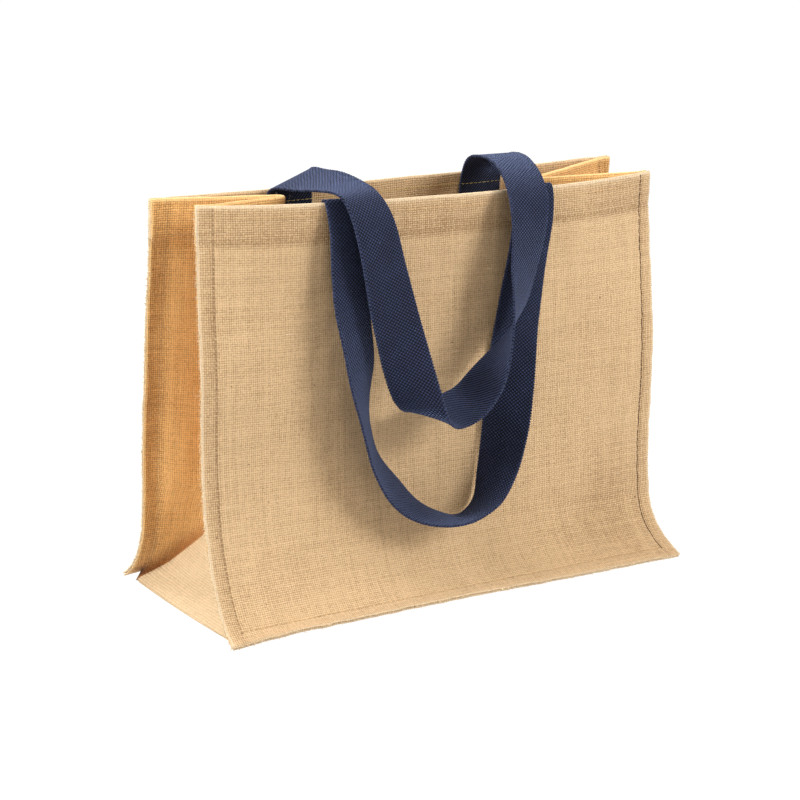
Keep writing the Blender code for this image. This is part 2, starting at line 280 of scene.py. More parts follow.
# %% The panel
PROBE = 2 * MM                          # either side of a point, to read the slope


def edge_curve(slopes, column):
    """(heights, run, rise) of a panel's side edge, summed from its slopes."""
    rows = np.array(slopes, float)
    heights = np.linspace(0, PANEL_HEIGHT, 337)
    middles = (heights[1:] + heights[:-1]) / 2
    slope = np.radians(np.interp(middles, rows[:, 0] * MM, rows[:, column]))
    step = np.diff(heights)
    run = np.concatenate([[0], np.cumsum(step * np.cos(slope))])
    rise = np.concatenate([[0], np.cumsum(step * np.sin(slope))])
    return heights, run, rise


def read_off(table, place, column):
    """A table's value at a place between its rows, in metres."""
    rows = np.array(table, float) * MM
    return np.interp(place, rows[:, 0], rows[:, column])


class Panel:
    """A panel's outer face, read by place across and by height along the cloth."""

    def __init__(self, name, face, slopes, seed):
        self.face = face                # -1 for the front panel, +1 for the back
        self.seed = seed
        self.left = edge_curve(slopes, 1)
        self.right = edge_curve(slopes, 2)
        self.bows = (1, 2) if face < 0 else (3, 4)
        self.shift, self.forward, self.down, self.spread = (s * MM for s in RIM_SHIFTS[name])

    def outer(self, across, height):
        """Points of the smooth outer face."""
        across, height = np.broadcast_arrays(np.asarray(across, float), np.asarray(height, float))
        sides = []
        for heights, run, rise in (self.left, self.right):
            sides.append((np.interp(height, heights, run), np.interp(height, heights, rise)))
        aside = 2 * across / PANEL_WIDTH
        run, rise = (mix(left, right, (aside + 1) / 2) for left, right in zip(*sides))
        up = height / PANEL_HEIGHT
        belly = (1 - np.minimum(np.abs(aside), 1) ** 3) * up**1.5
        x = across + self.shift * up + aside * self.spread * (1 - up)
        left_bow, right_bow = (read_off(SIDE_BOWS, height, column) for column in self.bows)
        bow = np.where(aside > 0, right_bow, left_bow) * smooth(2 * np.abs(aside) - 1)
        y = self.face * (BASE_DEPTH / 2 - run + bow) - self.forward * belly
        lift = read_off(FOOT_LIFTS, across, 1) * np.maximum(1 - height / LIFT_FADE, 0) ** 2
        return np.stack([x, y, PANEL_FOOT + rise + lift - self.down * belly], axis=-1)

    def inward(self, across, height):
        """The direction from the outer face into the bag."""
        low = np.maximum(height - PROBE, 0.0)
        high = np.minimum(height + PROBE, PANEL_HEIGHT)
        along = self.outer(across + PROBE, height) - self.outer(across - PROBE, height)
        upward = self.outer(across, high) - self.outer(across, low)
        return unit(np.cross(upward, along) * -self.face)

    def relief(self, across, height):
        """How far the real cloth stands out from the smooth rule."""
        side = PANEL_WIDTH / 2 - np.abs(across)
        at_side, at_foot = np.abs(side - FIN), np.abs(height - FIN)
        above_foot = smooth((height - FIN) / (8 * MM))
        inside = smooth((side - FIN) / (30 * MM)) * smooth((height - FIN) / (25 * MM))
        total = 0.9 * MM * broad_dents(across, height + self.seed) * inside
        total = total + 0.22 * MM * small_dents(across, height + self.seed) * smooth(side / FIN)
        total = total + 0.30 * MM * puckers(height, at_side, self.seed) * above_foot
        foot_puckers = puckers(across, at_foot, self.seed + 4) * smooth((side - FIN) / (8 * MM))
        total = total + 0.28 * MM * foot_puckers
        total = total - 0.55 * MM * ridge(at_side, 1.7 * MM) * above_foot
        total = total - 0.60 * MM * ridge(at_foot, 1.9 * MM) * smooth((side - FIN) / (4 * MM))
        total = total - 0.35 * MM * ridge(height - HEM_LINE, 1.8 * MM)
        total = total + 0.45 * MM * hem_share(height) * smooth((side - FIN) / (6 * MM))
        sway = fin_waves(height + self.seed, across * 0) * smooth(1 - side / FIN)
        return total + 0.25 * MM * sway * smooth((height - 20 * MM) / (40 * MM))

    def at(self, across, height, depth):
        """A point this far inside the uneven outer face."""
        across, height, depth = np.broadcast_arrays(across, height, np.asarray(depth, float))
        lift = depth - self.relief(across, height)
        return self.outer(across, height) + lift[..., None] * self.inward(across, height)


FRONT = Panel("front", -1, FRONT_SLOPES, 0.0)
BACK = Panel("back", +1, BACK_SLOPES, 0.7)
print("front rim, middle:", FRONT.outer(0.0, PANEL_HEIGHT).round(4))

# %% [markdown]
# ## From rows of points to cloth
#
# Every piece of this bag is a grid: rows of points, with a place on the flat
# cloth for each. The flat place becomes the UV map, in metres, so one weave
# has the same thread size on every piece. Two more numbers ride along as
# attributes: how near a cut edge is, and how much painted shade the cloth
# gets where it lies double, at its seams and in a low corner. The material
# uses them to bleach frayed edges and to darken hems and seams with painted
# shade.


# %% Build a sheet and give it thickness
def grid_mesh(name, points, flat, marks):
    """A mesh of quads, its flat cloth as UV map and its marks as attributes."""
    rows, columns = points.shape[:2]
    number = np.arange(rows * columns).reshape(rows, columns)
    corners = [number[:-1, :-1], number[:-1, 1:], number[1:, 1:], number[1:, :-1]]
    quads = np.stack(corners, axis=-1).reshape(-1, 4)
    mesh = bpy.data.meshes.new(name)
    mesh.from_pydata(points.reshape(-1, 3).tolist(), [], quads.tolist())
    uv = mesh.uv_layers.new(name="flat")
    loops = np.empty(len(mesh.loops), int)
    mesh.loops.foreach_get("vertex_index", loops)
    uv.data.foreach_set("uv", flat.reshape(-1, 2)[loops].ravel())
    for mark, values in marks.items():
        layer = mesh.attributes.new(mark, "FLOAT", "POINT")
        layer.data.foreach_set("value", values.ravel())
    mesh.shade_smooth()
    obj = bpy.data.objects.new(name, mesh)
    bpy.context.scene.collection.objects.link(obj)
    return obj


def baked(obj):
    """The object with its modifiers made real and then taken off."""
    graph = bpy.context.evaluated_depsgraph_get()
    mesh = bpy.data.meshes.new_from_object(obj.evaluated_get(graph))
    obj.modifiers.clear()
    old, obj.data = obj.data, mesh
    if old.users == 0:
        bpy.data.meshes.remove(old)
    mesh.name = obj.name
    return obj


def thickened(obj, thickness):
    """Gives the sheet its thickness, half of it on each side."""
    solid = obj.modifiers.new("thickness", "SOLIDIFY")
    solid.thickness = thickness
    solid.offset = 0
    return solid


# %% [markdown]
# ## Hems
#
# The top edge of a piece is folded to the inside and stitched down. Here the
# cloth really goes over the rim: its rows turn round a small fold and run
# down the inside for the width of the hem. That gives the doubled thickness,
# the round rim and the cut edge inside without any trick.


# %% Normals of a grid, and a hem at its last row
def grid_normals(points, probe, outward):
    """Unit normals of a grid, turned so that the probe point's looks outward."""
    normals = unit(np.cross(np.gradient(points, axis=0), np.gradient(points, axis=1)))
    return normals if normals[probe] @ outward > 0 else -normals


FOLD_TURNS = np.linspace(0, math.pi, 7)[1:-1]


def hem_rows(outer, normals):
    """Rows that go on past the last one: over the fold and down the inside."""
    near, far = LAYER / 2, 2 * CLOTH - LAYER / 2
    rim, before = outer[-1], outer[-2]
    upward = unit(rim - before)
    radius = (far - near) / 2
    middle = rim - normals[-1] * (near + far) / 2
    rows, lengths = [], []
    for turn in FOLD_TURNS:
        rows.append(middle + normals[-1] * radius * math.cos(turn) + upward * radius * math.sin(turn))
        lengths.append(radius * turn)
    down = np.cumsum(np.linalg.norm(np.diff(outer[::-1, outer.shape[1] // 2], axis=0), axis=-1))
    for back in range(int(np.searchsorted(down, HEM)) + 1):
        rows.append(outer[-1 - back] - normals[-1 - back] * far)
        lengths.append(math.pi * radius + (down[back - 1] if back else 0.0))
    return rows, lengths


# %% [markdown]
# ## Where cloth looks darker or paler
#
# Cloth that lies double lets no light through and looks darker, and so do the
# needle holes beside a seam and the low corner where the gusset lies close
# behind; all of that is painted shade. The top of a rim is rubbed pale.
# Painting this on a picture would need a picture, so each tone is a short rule
# of the place on the flat cloth, and the burlap's material reads it later.


# %% Painted shade of the hem, the seams and the low right corner, and the rim's wear
def hem_shade(height):
    """Painted shade on the doubled hem, which lets no light through: softly from its lower edge, where it
    is darkest, to the rim.
    """
    begun = smooth((height - (PANEL_HEIGHT - HEM - 4 * MM)) / (7 * MM))
    faded = mix(1.15, 0.45, smooth((height - PANEL_HEIGHT + HEM) / (20 * MM)))
    return begun * faded * (height < PANEL_HEIGHT + 1 * MM)


def seam_shade(side):
    """Painted shade for a side seam: darkest in the needle holes, paler at the cut edge."""
    holes = ridge(side - FIN + 1.5 * MM, 2.5 * MM)
    return np.maximum(0.6 * smooth((FIN - side) / (2 * MM)) * smooth(side / (5 * MM)), holes)


def corner_shade(across, height):
    """Painted shade low by the right seam, where the gusset lies close behind the cloth."""
    near = ridge(across - 158 * MM, 44 * MM) * ridge(height - 62 * MM, 46 * MM)
    around = smooth((across - 90 * MM) / (110 * MM)) * smooth((120 * MM - height) / (90 * MM))
    return 0.75 * near + 0.35 * around


def worn_rim(height):
    """How pale the very top of a folded rim is rubbed."""
    return 0.8 * ridge(height - PANEL_HEIGHT - 0.8 * MM, 1.7 * MM)


# %% [markdown]
# ## Front and back panels
#
# The rows and columns of the grid crowd together beside the seams and the
# hem's stitches, where the relief is narrow, and are wider apart elsewhere.

# %% Places of the grid's rows and columns
SEAM_PLACES = np.array([0, 2, 4, 6, 8, 9.6, 10.6, 11.3, 12, 12.7, 13.4, 14.4, 16, 18, 20.5]) * MM
CELL = 2.8 * MM                         # between rows and columns elsewhere
HEM_BAND = (36 * MM, 21 * MM)           # below the rim, where the hem's relief is narrow


def spread(low, high, step):
    """Even places from low to high, about one step apart."""
    return np.linspace(low, high, max(int(round((high - low) / step)), 1) + 1)


def panel_places():
    """Places across the cloth and up it."""
    half = PANEL_WIDTH / 2
    last = SEAM_PLACES[-1]
    middle = spread(-half + last, half - last, CELL)[1:-1]
    across = np.concatenate([SEAM_PLACES - half, middle, half - SEAM_PLACES[::-1]])
    below, above = (PANEL_HEIGHT - place for place in HEM_BAND)
    low = spread(last, below, CELL)[1:]
    hem = spread(below, above, 1.3 * MM)[1:]
    top = spread(above, PANEL_HEIGHT, 2.3 * MM)[1:]
    return across, np.concatenate([SEAM_PLACES, low, hem, top])


PANEL_COLUMNS, PANEL_ROWS = panel_places()
MIDDLE = (60, 80)                       # a row and a column well inside a panel
print("panel grid:", len(PANEL_COLUMNS), "by", len(PANEL_ROWS))


# %% Cut and hem both panels
def ragged(across, height, seed):
    """The same places, with the cut side edges nibbled in and out a little."""
    nibble = 0.2 * MM * np.sin(height / (2.3 * MM) + seed)
    nibble = nibble + 0.2 * MM * np.sin(height / (5.9 * MM) + 3 * seed)
    return across + np.sign(across) * nibble * (np.abs(across) > PANEL_WIDTH / 2 - 1 * MM)


def panel_marks(flat):
    """How far each place is a cut edge or in painted shade; no gusset's fold, nor its painted light, runs
    over a panel.
    """
    side, height = PANEL_WIDTH / 2 - np.abs(flat[..., 0]), flat[..., 1]
    cut_edge = np.maximum(smooth(1 - side / (2.4 * MM)), 0.4 * smooth(1 - height / (1.5 * MM)))
    # painted shade where the cloth lies double, at the seams and low in the right corner
    doubled = np.maximum(hem_shade(height), seam_shade(side))
    marks = {
        "cut_edge": np.maximum(cut_edge, worn_rim(height)),
        "doubled": np.maximum(doubled, corner_shade(flat[..., 0], height)),
    }
    # the gusset's painted light and shade are nothing on a panel
    for fold in ("shaded_fold", "lit_fold", "deep_fold"):
        marks[fold] = np.zeros_like(side)
    return marks


def burlap_panel(name, panel, outward):
    """A panel with its hem, its unevenness and its thickness."""
    places, levels = np.meshgrid(PANEL_COLUMNS, PANEL_ROWS)
    places = ragged(places, levels, panel.seed + 1)
    outer = panel.at(places, levels, 0.0)
    normals = grid_normals(outer, MIDDLE, np.array(outward))
    extra, lengths = hem_rows(outer, normals)
    points = np.concatenate([outer - normals * LAYER / 2, extra])
    up = np.concatenate([PANEL_ROWS, PANEL_HEIGHT + np.array(lengths)])
    flat = np.stack(np.meshgrid(PANEL_COLUMNS, up), axis=-1)
    obj = grid_mesh(name, points, flat, panel_marks(flat))
    thickened(obj, LAYER)
    return baked(obj)


front_panel = burlap_panel("front_burlap", FRONT, (0, -1, 0))
back_panel = burlap_panel("back_burlap", BACK, (0, 1, 0))
print("faces in each panel:", len(front_panel.data.polygons))

# %% [markdown]
# ## The side and base strip
#
# One strip of cloth climbs down the left side, crosses the base and climbs up
# the right side. Each gusset is folded inwards, the way a paper bag's is: a
# triangle rises from the base's end to an apex and a crease goes on to the rim.
# A row across the strip runs from the front seam, over the fold, to the back
# seam, and is as long as the cloth is wide wherever it hangs slack.

# %% The strip's sizes
GUSSETS = (
    # side, apex (x, y, z) mm, crease at the rim (x, y, z) mm
    (-1, (-138, 4, 76), (-118, -1, 319)),
    (+1, (144, -4, 74), (115, -20, 318)),
)
BASE_HALF_LENGTH = 197 * MM             # to where the base turns up at its corners
BASE_BULGE = 2 * MM                     # its ends reach further by this at mid depth
CORNER_REACH = 8 * MM                   # cloth at each end of a lower seam that turns up
FOOT = 75 * MM                          # half of the base's depth that lies flat
DROP = 12 * MM                          # cloth from a lower seam down to the surface
LIP = 3 * MM                            # round of the fold between base and gusset
CORNER_LIFT = 8 * MM                    # and where that fold meets a seam's corner
LOW_LIFT = 2 * MM                       # less than that right in the corner
LIFT_SHARE = 0.02                       # of the triangle, over which they rise
TUCK = (6 * MM, 9 * MM)                 # the fold's corner is drawn out under the fins
TUCK_SHARE = 0.25                       # of the triangle, over which that fades
TUCK_REACH = 25 * MM                    # and along the base
FOLD_EASE = 0.35                        # how softly the triangle leaves the surface
CREASE = 2.5 * MM                       # half of the crease's soft width
ROUND_FOLD = 2.2 * MM                   # how far the cloth between the creases bulges
HALF_GUSSET = 90 * MM                   # cloth from a side seam to the crease
MOST_SLACK = 11 * MM                    # most that slack cloth stands off its chord
SLACK_TOP = 0.55                        # share of the height above which slack fades
EDGE_INSET = 0.5 * MM                   # the strip's edge behind the panel's
FAN = 3 * MM                            # seam over which the fin turns a corner
FIN_SHARES = np.array([0, 0.18, 0.36, 0.54, 0.72, 0.86, 0.94, 1.0])
GUSSET_SHARES = np.concatenate([[0.015, 0.035], np.linspace(0.06, 1, 24)])[:-1]
MIDDLE_SHARES = np.linspace(0, 1, 41)[1:-1]
print("columns from seam to crease:", len(GUSSET_SHARES), "between creases:", len(MIDDLE_SHARES))


# %% Points across one row of the strip
def behind(panel, across, height):
    """The strip's outer face where it lies behind a panel's fin."""
    return panel.at(across, height, 2 * CLOTH * (1 + hem_share(height)) + GAP)


def fin_points(panel, edge, seam):
    """From the strip's cut edge to its seam, behind the panel's fin."""
    return behind(panel, mix(edge[0], seam[0], FIN_SHARES), mix(edge[1], seam[1], FIN_SHARES))


def slack_curve(seam, foot, length, face, ease):
    """From a seam to a crease, bowed into the bag by the cloth's spare length."""
    chord = foot - seam
    span = np.linalg.norm(chord)
    rise = min(math.sqrt(3 / 8 * span * max(length - span, 0.0)), MOST_SLACK) * ease
    side = unit(np.array([-chord[1], chord[0], 0.0]))
    side = side if side[1] * face > 0 else -side
    t = GUSSET_SHARES[:, None]
    return seam + chord * t + side * rise * 27 / 4 * (1 - t) * t**2


def middle_points(front_foot, back_foot, arch):
    """Between the two creases: over the base, the triangle or the fold."""
    t = MIDDLE_SHARES[:, None]
    return mix(front_foot, back_foot, t) + 4 * t * (1 - t) * arch


def whole_row(fins, feet, arch, length, ease):
    """One row of the strip, from its front cut edge to its back one."""
    (front, back), (front_foot, back_foot) = fins, feet
    front_half = slack_curve(front[-1], front_foot, length, -1, ease)
    back_half = slack_curve(back[-1], back_foot, length, +1, ease)
    middle = [[front_foot], middle_points(front_foot, back_foot, arch), [back_foot]]
    return np.concatenate([front, front_half, *middle, back_half[::-1], back[::-1]])


# %% Rows of a gusset and of the base
def gusset_feet(side, apex, top, climbed, above, tuck, lift):
    """A row's two creases, by share climbed of the triangle and of the fold above it."""
    feet = []
    for face in (-1, +1):
        out, deep = BASE_HALF_LENGTH + TUCK[0] * tuck, FOOT + TUCK[1] * tuck
        foot = np.array([side * out, face * deep, 0.0])
        half = np.array([0.0, face * CREASE, 0.0])
        point = mix(foot, apex + half, climbed)
        point[2] = apex[2] * mix(climbed, smooth(climbed), FOLD_EASE) + lift
        feet.append(mix(point, top + half, above))
    return feet


def gusset_row(gusset, height):
    """The row that meets both side seams at this height."""
    side, apex, top = gusset[0], np.array(gusset[1]) * MM, np.array(gusset[2]) * MM
    start = np.array([side * (BASE_HALF_LENGTH + BASE_BULGE), 0.0, 0.0])
    lower, upper = np.linalg.norm(apex - start), np.linalg.norm(top - apex)
    along = (height - FIN) / (PANEL_HEIGHT - FIN) * (lower + upper)
    climbed = min(along / lower, 1.0)
    above = max(along - lower, 0.0) / upper
    lift = (1 - climbed) * (1 - math.exp(-climbed / LIFT_SHARE))
    tuck = 1 - smooth(climbed / TUCK_SHARE)
    corner = mix(CORNER_LIFT, LOW_LIFT, tuck)
    feet = gusset_feet(side, apex, top, climbed, above, tuck, corner * lift)
    round_fold = -side * ROUND_FOLD * smooth((climbed - 0.8) / 0.2)
    bulge = side * BASE_BULGE * (1 - climbed) ** 2
    arch = np.array([bulge + round_fold, 0.0, (LIP - corner) * lift])
    edge, seam = side * (PANEL_WIDTH / 2 - EDGE_INSET), side * (PANEL_WIDTH / 2 - FIN)
    edge_height = mix(EDGE_INSET, height, min((height - FIN) / FAN, 1.0))
    fins = [fin_points(p, (edge, edge_height), (seam, height)) for p in (FRONT, BACK)]
    ease = climbed * (1 - smooth((height / PANEL_HEIGHT - SLACK_TOP) / (1 - SLACK_TOP)))
    return whole_row(fins, feet, arch, mix(DROP, HALF_GUSSET, climbed), ease)


def base_row(across):
    """A row straight across the base, which lies flat on the surface."""
    fins = [fin_points(p, (across, EDGE_INSET), (across, FIN)) for p in (FRONT, BACK)]
    reach = PANEL_WIDTH / 2 - FIN - CORNER_REACH
    deep = FOOT + TUCK[1] * smooth((abs(across) - reach + TUCK_REACH) / TUCK_REACH)
    feet = [np.array([across, face * deep, 0.0]) for face in (-1, +1)]
    return whole_row(fins, feet, np.zeros(3), 0.0, 0.0)


# %% All rows, from the left rim under the base to the right rim
def strip_grid():
    """All rows, their places along the strip and their heights up the side seams."""
    low = FIN + FAN * np.linspace(0, 1, 5)
    below = PANEL_HEIGHT - HEM_BAND[0]
    side = spread(low[-1], below, 2.9 * MM)[1:]
    levels = np.concatenate([low, side, spread(below, PANEL_HEIGHT, 2 * MM)[1:]])
    reach = PANEL_WIDTH / 2 - FIN - CORNER_REACH
    base = spread(-reach, reach, 4 * MM)
    rows = [gusset_row(GUSSETS[0], level) for level in levels[::-1]]
    rows += [base_row(place) for place in base]
    rows += [gusset_row(GUSSETS[1], level) for level in levels]
    along = np.concatenate([-(reach + levels[::-1]), base, reach + levels])
    level = np.concatenate([levels[::-1], base * 0, levels])
    return np.array(rows), along, level


strip_rows, strip_along, strip_level = strip_grid()
print("strip grid:", strip_rows.shape[:2])

# %% [markdown]
# The gussets get soft dents of their own. They fade out near the fins, which
# the panels hold, and near the surface, where the base has to lie flat. Three
# more tones follow the folds, and all three are painted light: the gusset's
# halves face each other and fill with warm light, painted in as an ochre tint;
# the triangle below them is lit, painted as a paler highlight; and the crease
# between is deep, painted as brown shade.


# %% Dent, hem and thicken the strip
def fold_tones(over, level):
    """Marks for painted light: warm bounce on a gusset's shaded halves, a highlight on its lit triangle and
    shade in the crease between.
    """
    column = np.arange(over.shape[1])
    edge = len(FIN_SHARES) + len(GUSSET_SHARES)
    halves = ((column < edge) | (column >= over.shape[1] - edge))[None]
    above = smooth((level - 80 * MM) / (12 * MM))
    risen = smooth(level / (20 * MM))
    shaded = np.maximum(halves * risen, above)
    share = (column - column[0]) / (column[-1] - column[0])
    lit = (1 - halves) * risen * (1 - above) * (0.25 + 0.75 * smooth(1.25 - share[None]))
    to_front, to_back = over - over[:, edge - 1:edge], over - over[:, -edge:1 - edge]
    near = smooth(1 - np.minimum(np.abs(to_front), np.abs(to_back)) / (22 * MM))
    low = smooth(level / (6 * MM)) * smooth((115 * MM - level) / (70 * MM))
    return shaded, lit, halves * near * low


def strip_relief(rows, over):
    """How far the gussets' cloth stands out from the smooth rows."""
    level = strip_level[:, None]
    inside = smooth((np.minimum(over - over[:, :1], over[:, -1:] - over) - FIN) / (16 * MM))
    raised = smooth((rows[..., 2] - 5 * MM) / (25 * MM))
    dents = 0.9 * MM * broad_dents(over + 0.4, level) + 0.3 * MM * small_dents(over, level)
    hem = 0.4 * MM * hem_share(level) - 0.4 * MM * ridge(level - HEM_LINE, 1.8 * MM)
    return (dents + hem) * inside * raised


def burlap_strip():
    """The strip with both hems, and its outer face for the stitches to follow."""
    step = np.linalg.norm(np.diff(strip_rows, axis=1), axis=-1)
    over = np.concatenate([np.zeros((len(step), 1)), np.cumsum(step, axis=1)], axis=1)
    over -= over[:, -1:] / 2
    probe = (len(strip_rows) // 2, strip_rows.shape[1] // 2)
    normals = grid_normals(strip_rows, probe, np.array((0, 0, -1)))
    outer = strip_rows + normals * strip_relief(strip_rows, over)[..., None]
    left, left_lengths = hem_rows(outer[::-1], normals[::-1])
    right, right_lengths = hem_rows(outer, normals)
    points = np.concatenate([left[::-1], outer - normals * LAYER / 2, right])
    ends = [strip_along[0] - np.array(left_lengths)[::-1], strip_along[-1] + np.array(right_lengths)]
    along = np.concatenate([ends[0], strip_along, ends[1]])
    over = np.pad(over, ((len(left), len(right)), (0, 0)), mode="edge")
    flat = np.stack([over, np.broadcast_to(along[:, None], over.shape)], axis=-1)
    side = np.abs(over[:, :1]) - np.abs(over)
    level = np.abs(along)[:, None] - (PANEL_WIDTH / 2 - FIN - CORNER_REACH)
    marks = {
        "cut_edge": np.maximum(0.6 * smooth(1 - side / (1.3 * MM)), worn_rim(level)),
        # painted shade in the doubled hem and beside the fins
        "doubled": np.maximum(0.5 * hem_shade(level), smooth((FIN + 8 * MM - side) / (8 * MM))),
    }
    marks["shaded_fold"], marks["lit_fold"], marks["deep_fold"] = fold_tones(over, level)
    obj = grid_mesh("strip_burlap", points, flat, marks)
    thickened(obj, LAYER)
    print("strip's mean width as it lies, mm:", round(2 * float(over[:, -1].mean()) / MM))
    return baked(obj), outer, normals


strip, strip_outer, strip_normals = burlap_strip()
STRIP_LENGTH = float(strip_along[-1] - strip_along[0]) + 2 * HEM
print("strip faces:", len(strip.data.polygons), "cut length mm:", round(STRIP_LENGTH / MM))

# %% [markdown]
# ## The handles
#
# Cotton webbing bends easily out of its own plane and hardly at all in it, so
# a hanging handle is a ribbon: a middle line and, at each place, the direction
# of its outer edge. Both handles have fallen forward over the front rim. A
# short table of places and directions drives each one, and a smooth curve
# through them gives as many rows as the webbing's bends need.

# %% How the two handles run
SEWN = {"front_handle": (-92, 77), "back_handle": (-95, 79)}   # mm across the panel
SEWN_HEIGHTS = (311, 321, 332)          # mm up the panel's cloth
SEWN_GAP = 0.5 * MM                     # flat webbing behind a slightly curved panel
REST_GAP = 2 * MM                       # webbing that is only draped stands off this much
RIM_TURN = (0, 45, 90, 135, 180)        # degrees round the rim, from inside to outside
FRONT_RUN = (
    # place, right, back, up mm, outer edge's turn and lift deg
    ("below the left rim", -83, -53, 300, 180, 0),
    ("left leg", -85, -56, 270, 186, 1),
    ("left leg", -86, -60, 235, 198, -1),
    ("left leg", -83, -65, 200, 207, -3),
    ("left leg, turning edge on", -81, -66, 170, 223, -5),
    ("left leg, edge on", -76, -67, 140, 236, -7),
    ("left bend", -69, -67, 118, 237, -13),
    ("left bend", -53, -69, 93, 236, -20),
    ("bottom", -32, -72, 74, 249, -15),
    ("bottom", -10, -76, 65, 260, -2),
    ("lowest place", 12, -77, 63, 264, 13),
    ("right bend", 28, -76, 71, 269, 8),
    ("right bend", 41, -72, 93, 286, -1),
    ("right leg", 50, -69, 123, 306, -4),
    ("right leg", 58, -64, 160, 328, -7),
    ("right leg", 67, -57, 198, 345, -12),
    ("right leg", 77, -52, 239, 358, -14),
    ("right leg", 83, -52, 276, 361, -12),
    ("below the right rim", 86, -52, 300, 361, -6),
)
BACK_RUN = (
    ("above the left rim", -98, 15, 330, 183, -23),
    ("over the mouth", -91, -8, 331, 192, -21),
    ("over the mouth", -83, -32, 330, 194, -8),
    ("over the front rim", -76, -51, 325, 192, 0),
    ("left leg", -71, -61, 310, 190, -4),
    ("left leg", -68, -66, 294, 188, -8),
    ("left leg", -64, -69, 272, 184, -12),
    ("left leg", -59, -72, 245, 177, -13),
    ("left leg", -53, -76, 215, 166, -13),
    ("left leg", -47, -80, 188, 152, -13),
    ("left bend", -41, -84, 167, 133, -10),
    ("left bend", -34, -85, 155, 115, 0),
    ("bottom", -22, -81, 152, 107, 18),
    ("bottom", -7, -78, 153, 105, 28),
    ("bottom", 10, -77, 158, 102, 24),
    ("right bend", 24, -77, 171, 98, 18),
    ("right bend", 37, -78, 189, 80, 5),
    ("right leg, edge on", 49, -78, 210, 60, -7),
    ("right leg", 57, -77, 231, 40, -13),
    ("right leg", 64, -72, 258, 25, -11),
    ("right leg", 70, -69, 288, 11, -9),
    ("over the front rim", 74, -59, 317, 0, -8),
    ("over the mouth", 77, -40, 332, -4, -5),
    ("over the mouth", 79, -18, 338, -3, -2),
    ("above the right rim", 78, 3, 335, -1, 0),
)
WEBBING_STEP = 1.6 * MM                 # between rows along a handle
BACK_BEND = 43 * MM                     # from the end to the back handle's high bend
BEND_REACH = 18 * MM                    # webbing on each side of it that gives way
DROOP = 3 * MM                          # how far its inner edge sags there
SELVAGE_PLACES = np.array([0, 0.7, 1.6, 2.8]) * MM      # columns in from an edge
EDGE_REACH = 8                          # rows that the edges' directions are averaged over
print("rows in the handles' tables:", len(FRONT_RUN), len(BACK_RUN))


# %% From a table to a smooth ribbon
def edge_direction(turn, lift):
    """A unit vector from its turn about the vertical and its lift, in degrees."""
    turn, lift = np.radians((turn, lift))
    return np.array([np.cos(lift) * np.cos(turn), np.cos(lift) * np.sin(turn), np.sin(lift)])


def sewn_end(panel, across, side, over_the_rim):
    """(middle, outer edge's direction) pairs from a sewn end up to the rim."""
    inner = 2 * CLOTH + SEWN_GAP + WEBBING / 2
    half = side * WEBBING_WIDTH / 2

    def pair(height, depth):
        edge, other = (panel.at(across + s, height, depth) for s in (half, -half))
        return (edge + other) / 2, unit(edge - other)

    pairs = [pair(height * MM, inner) for height in SEWN_HEIGHTS]
    if over_the_rim:
        outer = -(REST_GAP + WEBBING / 2)
        radius = (inner - outer) / 2
        for angle in np.radians(RIM_TURN):
            middle, outward = pair(PANEL_HEIGHT, (inner + outer) / 2 + radius * np.cos(angle))
            pairs.append((middle + np.array([0.0, 0.0, radius * np.sin(angle)]), outward))
    return pairs


def through(values, at, places):
    """Smooth values at the places, passing through the given ones."""
    slopes = np.gradient(values, at, axis=0)
    i = np.clip(np.searchsorted(at, places) - 1, 0, len(at) - 2)
    span = (at[i + 1] - at[i])[:, None]
    t = (places - at[i])[:, None] / span
    ends = (2 * t + 1) * (1 - t) ** 2 * values[i] + t * t * (3 - 2 * t) * values[i + 1]
    return ends + t * (1 - t) * span * ((1 - t) * slopes[i] - t * slopes[i + 1])


def eased(rows, reach):
    """Rows averaged with their neighbours, so that a bend has no corner in it."""
    weights = np.hanning(2 * reach + 3)[1:-1]
    padded = np.concatenate([rows[:1]] * reach + [rows] + [rows[-1:]] * reach)
    return np.stack([np.convolve(column, weights / weights.sum(), "valid") for column in padded.T], axis=-1)


def handle_line(name, panel, run, over_the_rim):
    """A handle's middle line, its edge directions and the places along it."""
    left, right = (place * MM for place in SEWN[name])
    pairs = sewn_end(panel, left, -1, over_the_rim)
    for _, x, y, z, turn, lift in run:
        pairs.append((np.array([x, y, z]) * MM, edge_direction(turn, lift)))
    pairs += sewn_end(panel, right, +1, over_the_rim)[::-1]
    middles, edges = (np.array(part) for part in zip(*pairs))
    at = np.concatenate([[0], np.cumsum(np.linalg.norm(np.diff(middles, axis=0), axis=1))])
    places = spread(0, at[-1], WEBBING_STEP)
    reach = 2 if over_the_rim else 6    # the front handle's bend at the rim is tight
    edges = unit(eased(through(edges, at, places), EDGE_REACH))
    middles = eased(through(middles, at, places), reach)
    return middles, edges, places


# %% Weave the ribbon's body
def webbing_relief(over, places, seed):
    """Webbing cups a little across its width, and its edges are not quite even."""
    free = smooth((np.minimum(places, places[-1] - places) - 30 * MM) / (40 * MM))[:, None]
    share = 2 * over[None] / WEBBING_WIDTH
    cup = 0.5 * MM * share**2 * np.sin(places / (38 * MM) + seed)[:, None]
    frill = 0.35 * MM * share**4 * np.sign(share) * np.sin(places / (9 * MM) + 2 * seed)[:, None]
    return (cup + frill) * free


def webbing_columns():
    """Places over the width, closer together in both selvages."""
    half = WEBBING_WIDTH / 2
    middle = spread(half - 5 * MM, -half + 5 * MM, 2.3 * MM)
    return np.concatenate([half - SELVAGE_PLACES, middle, SELVAGE_PLACES[::-1] - half])


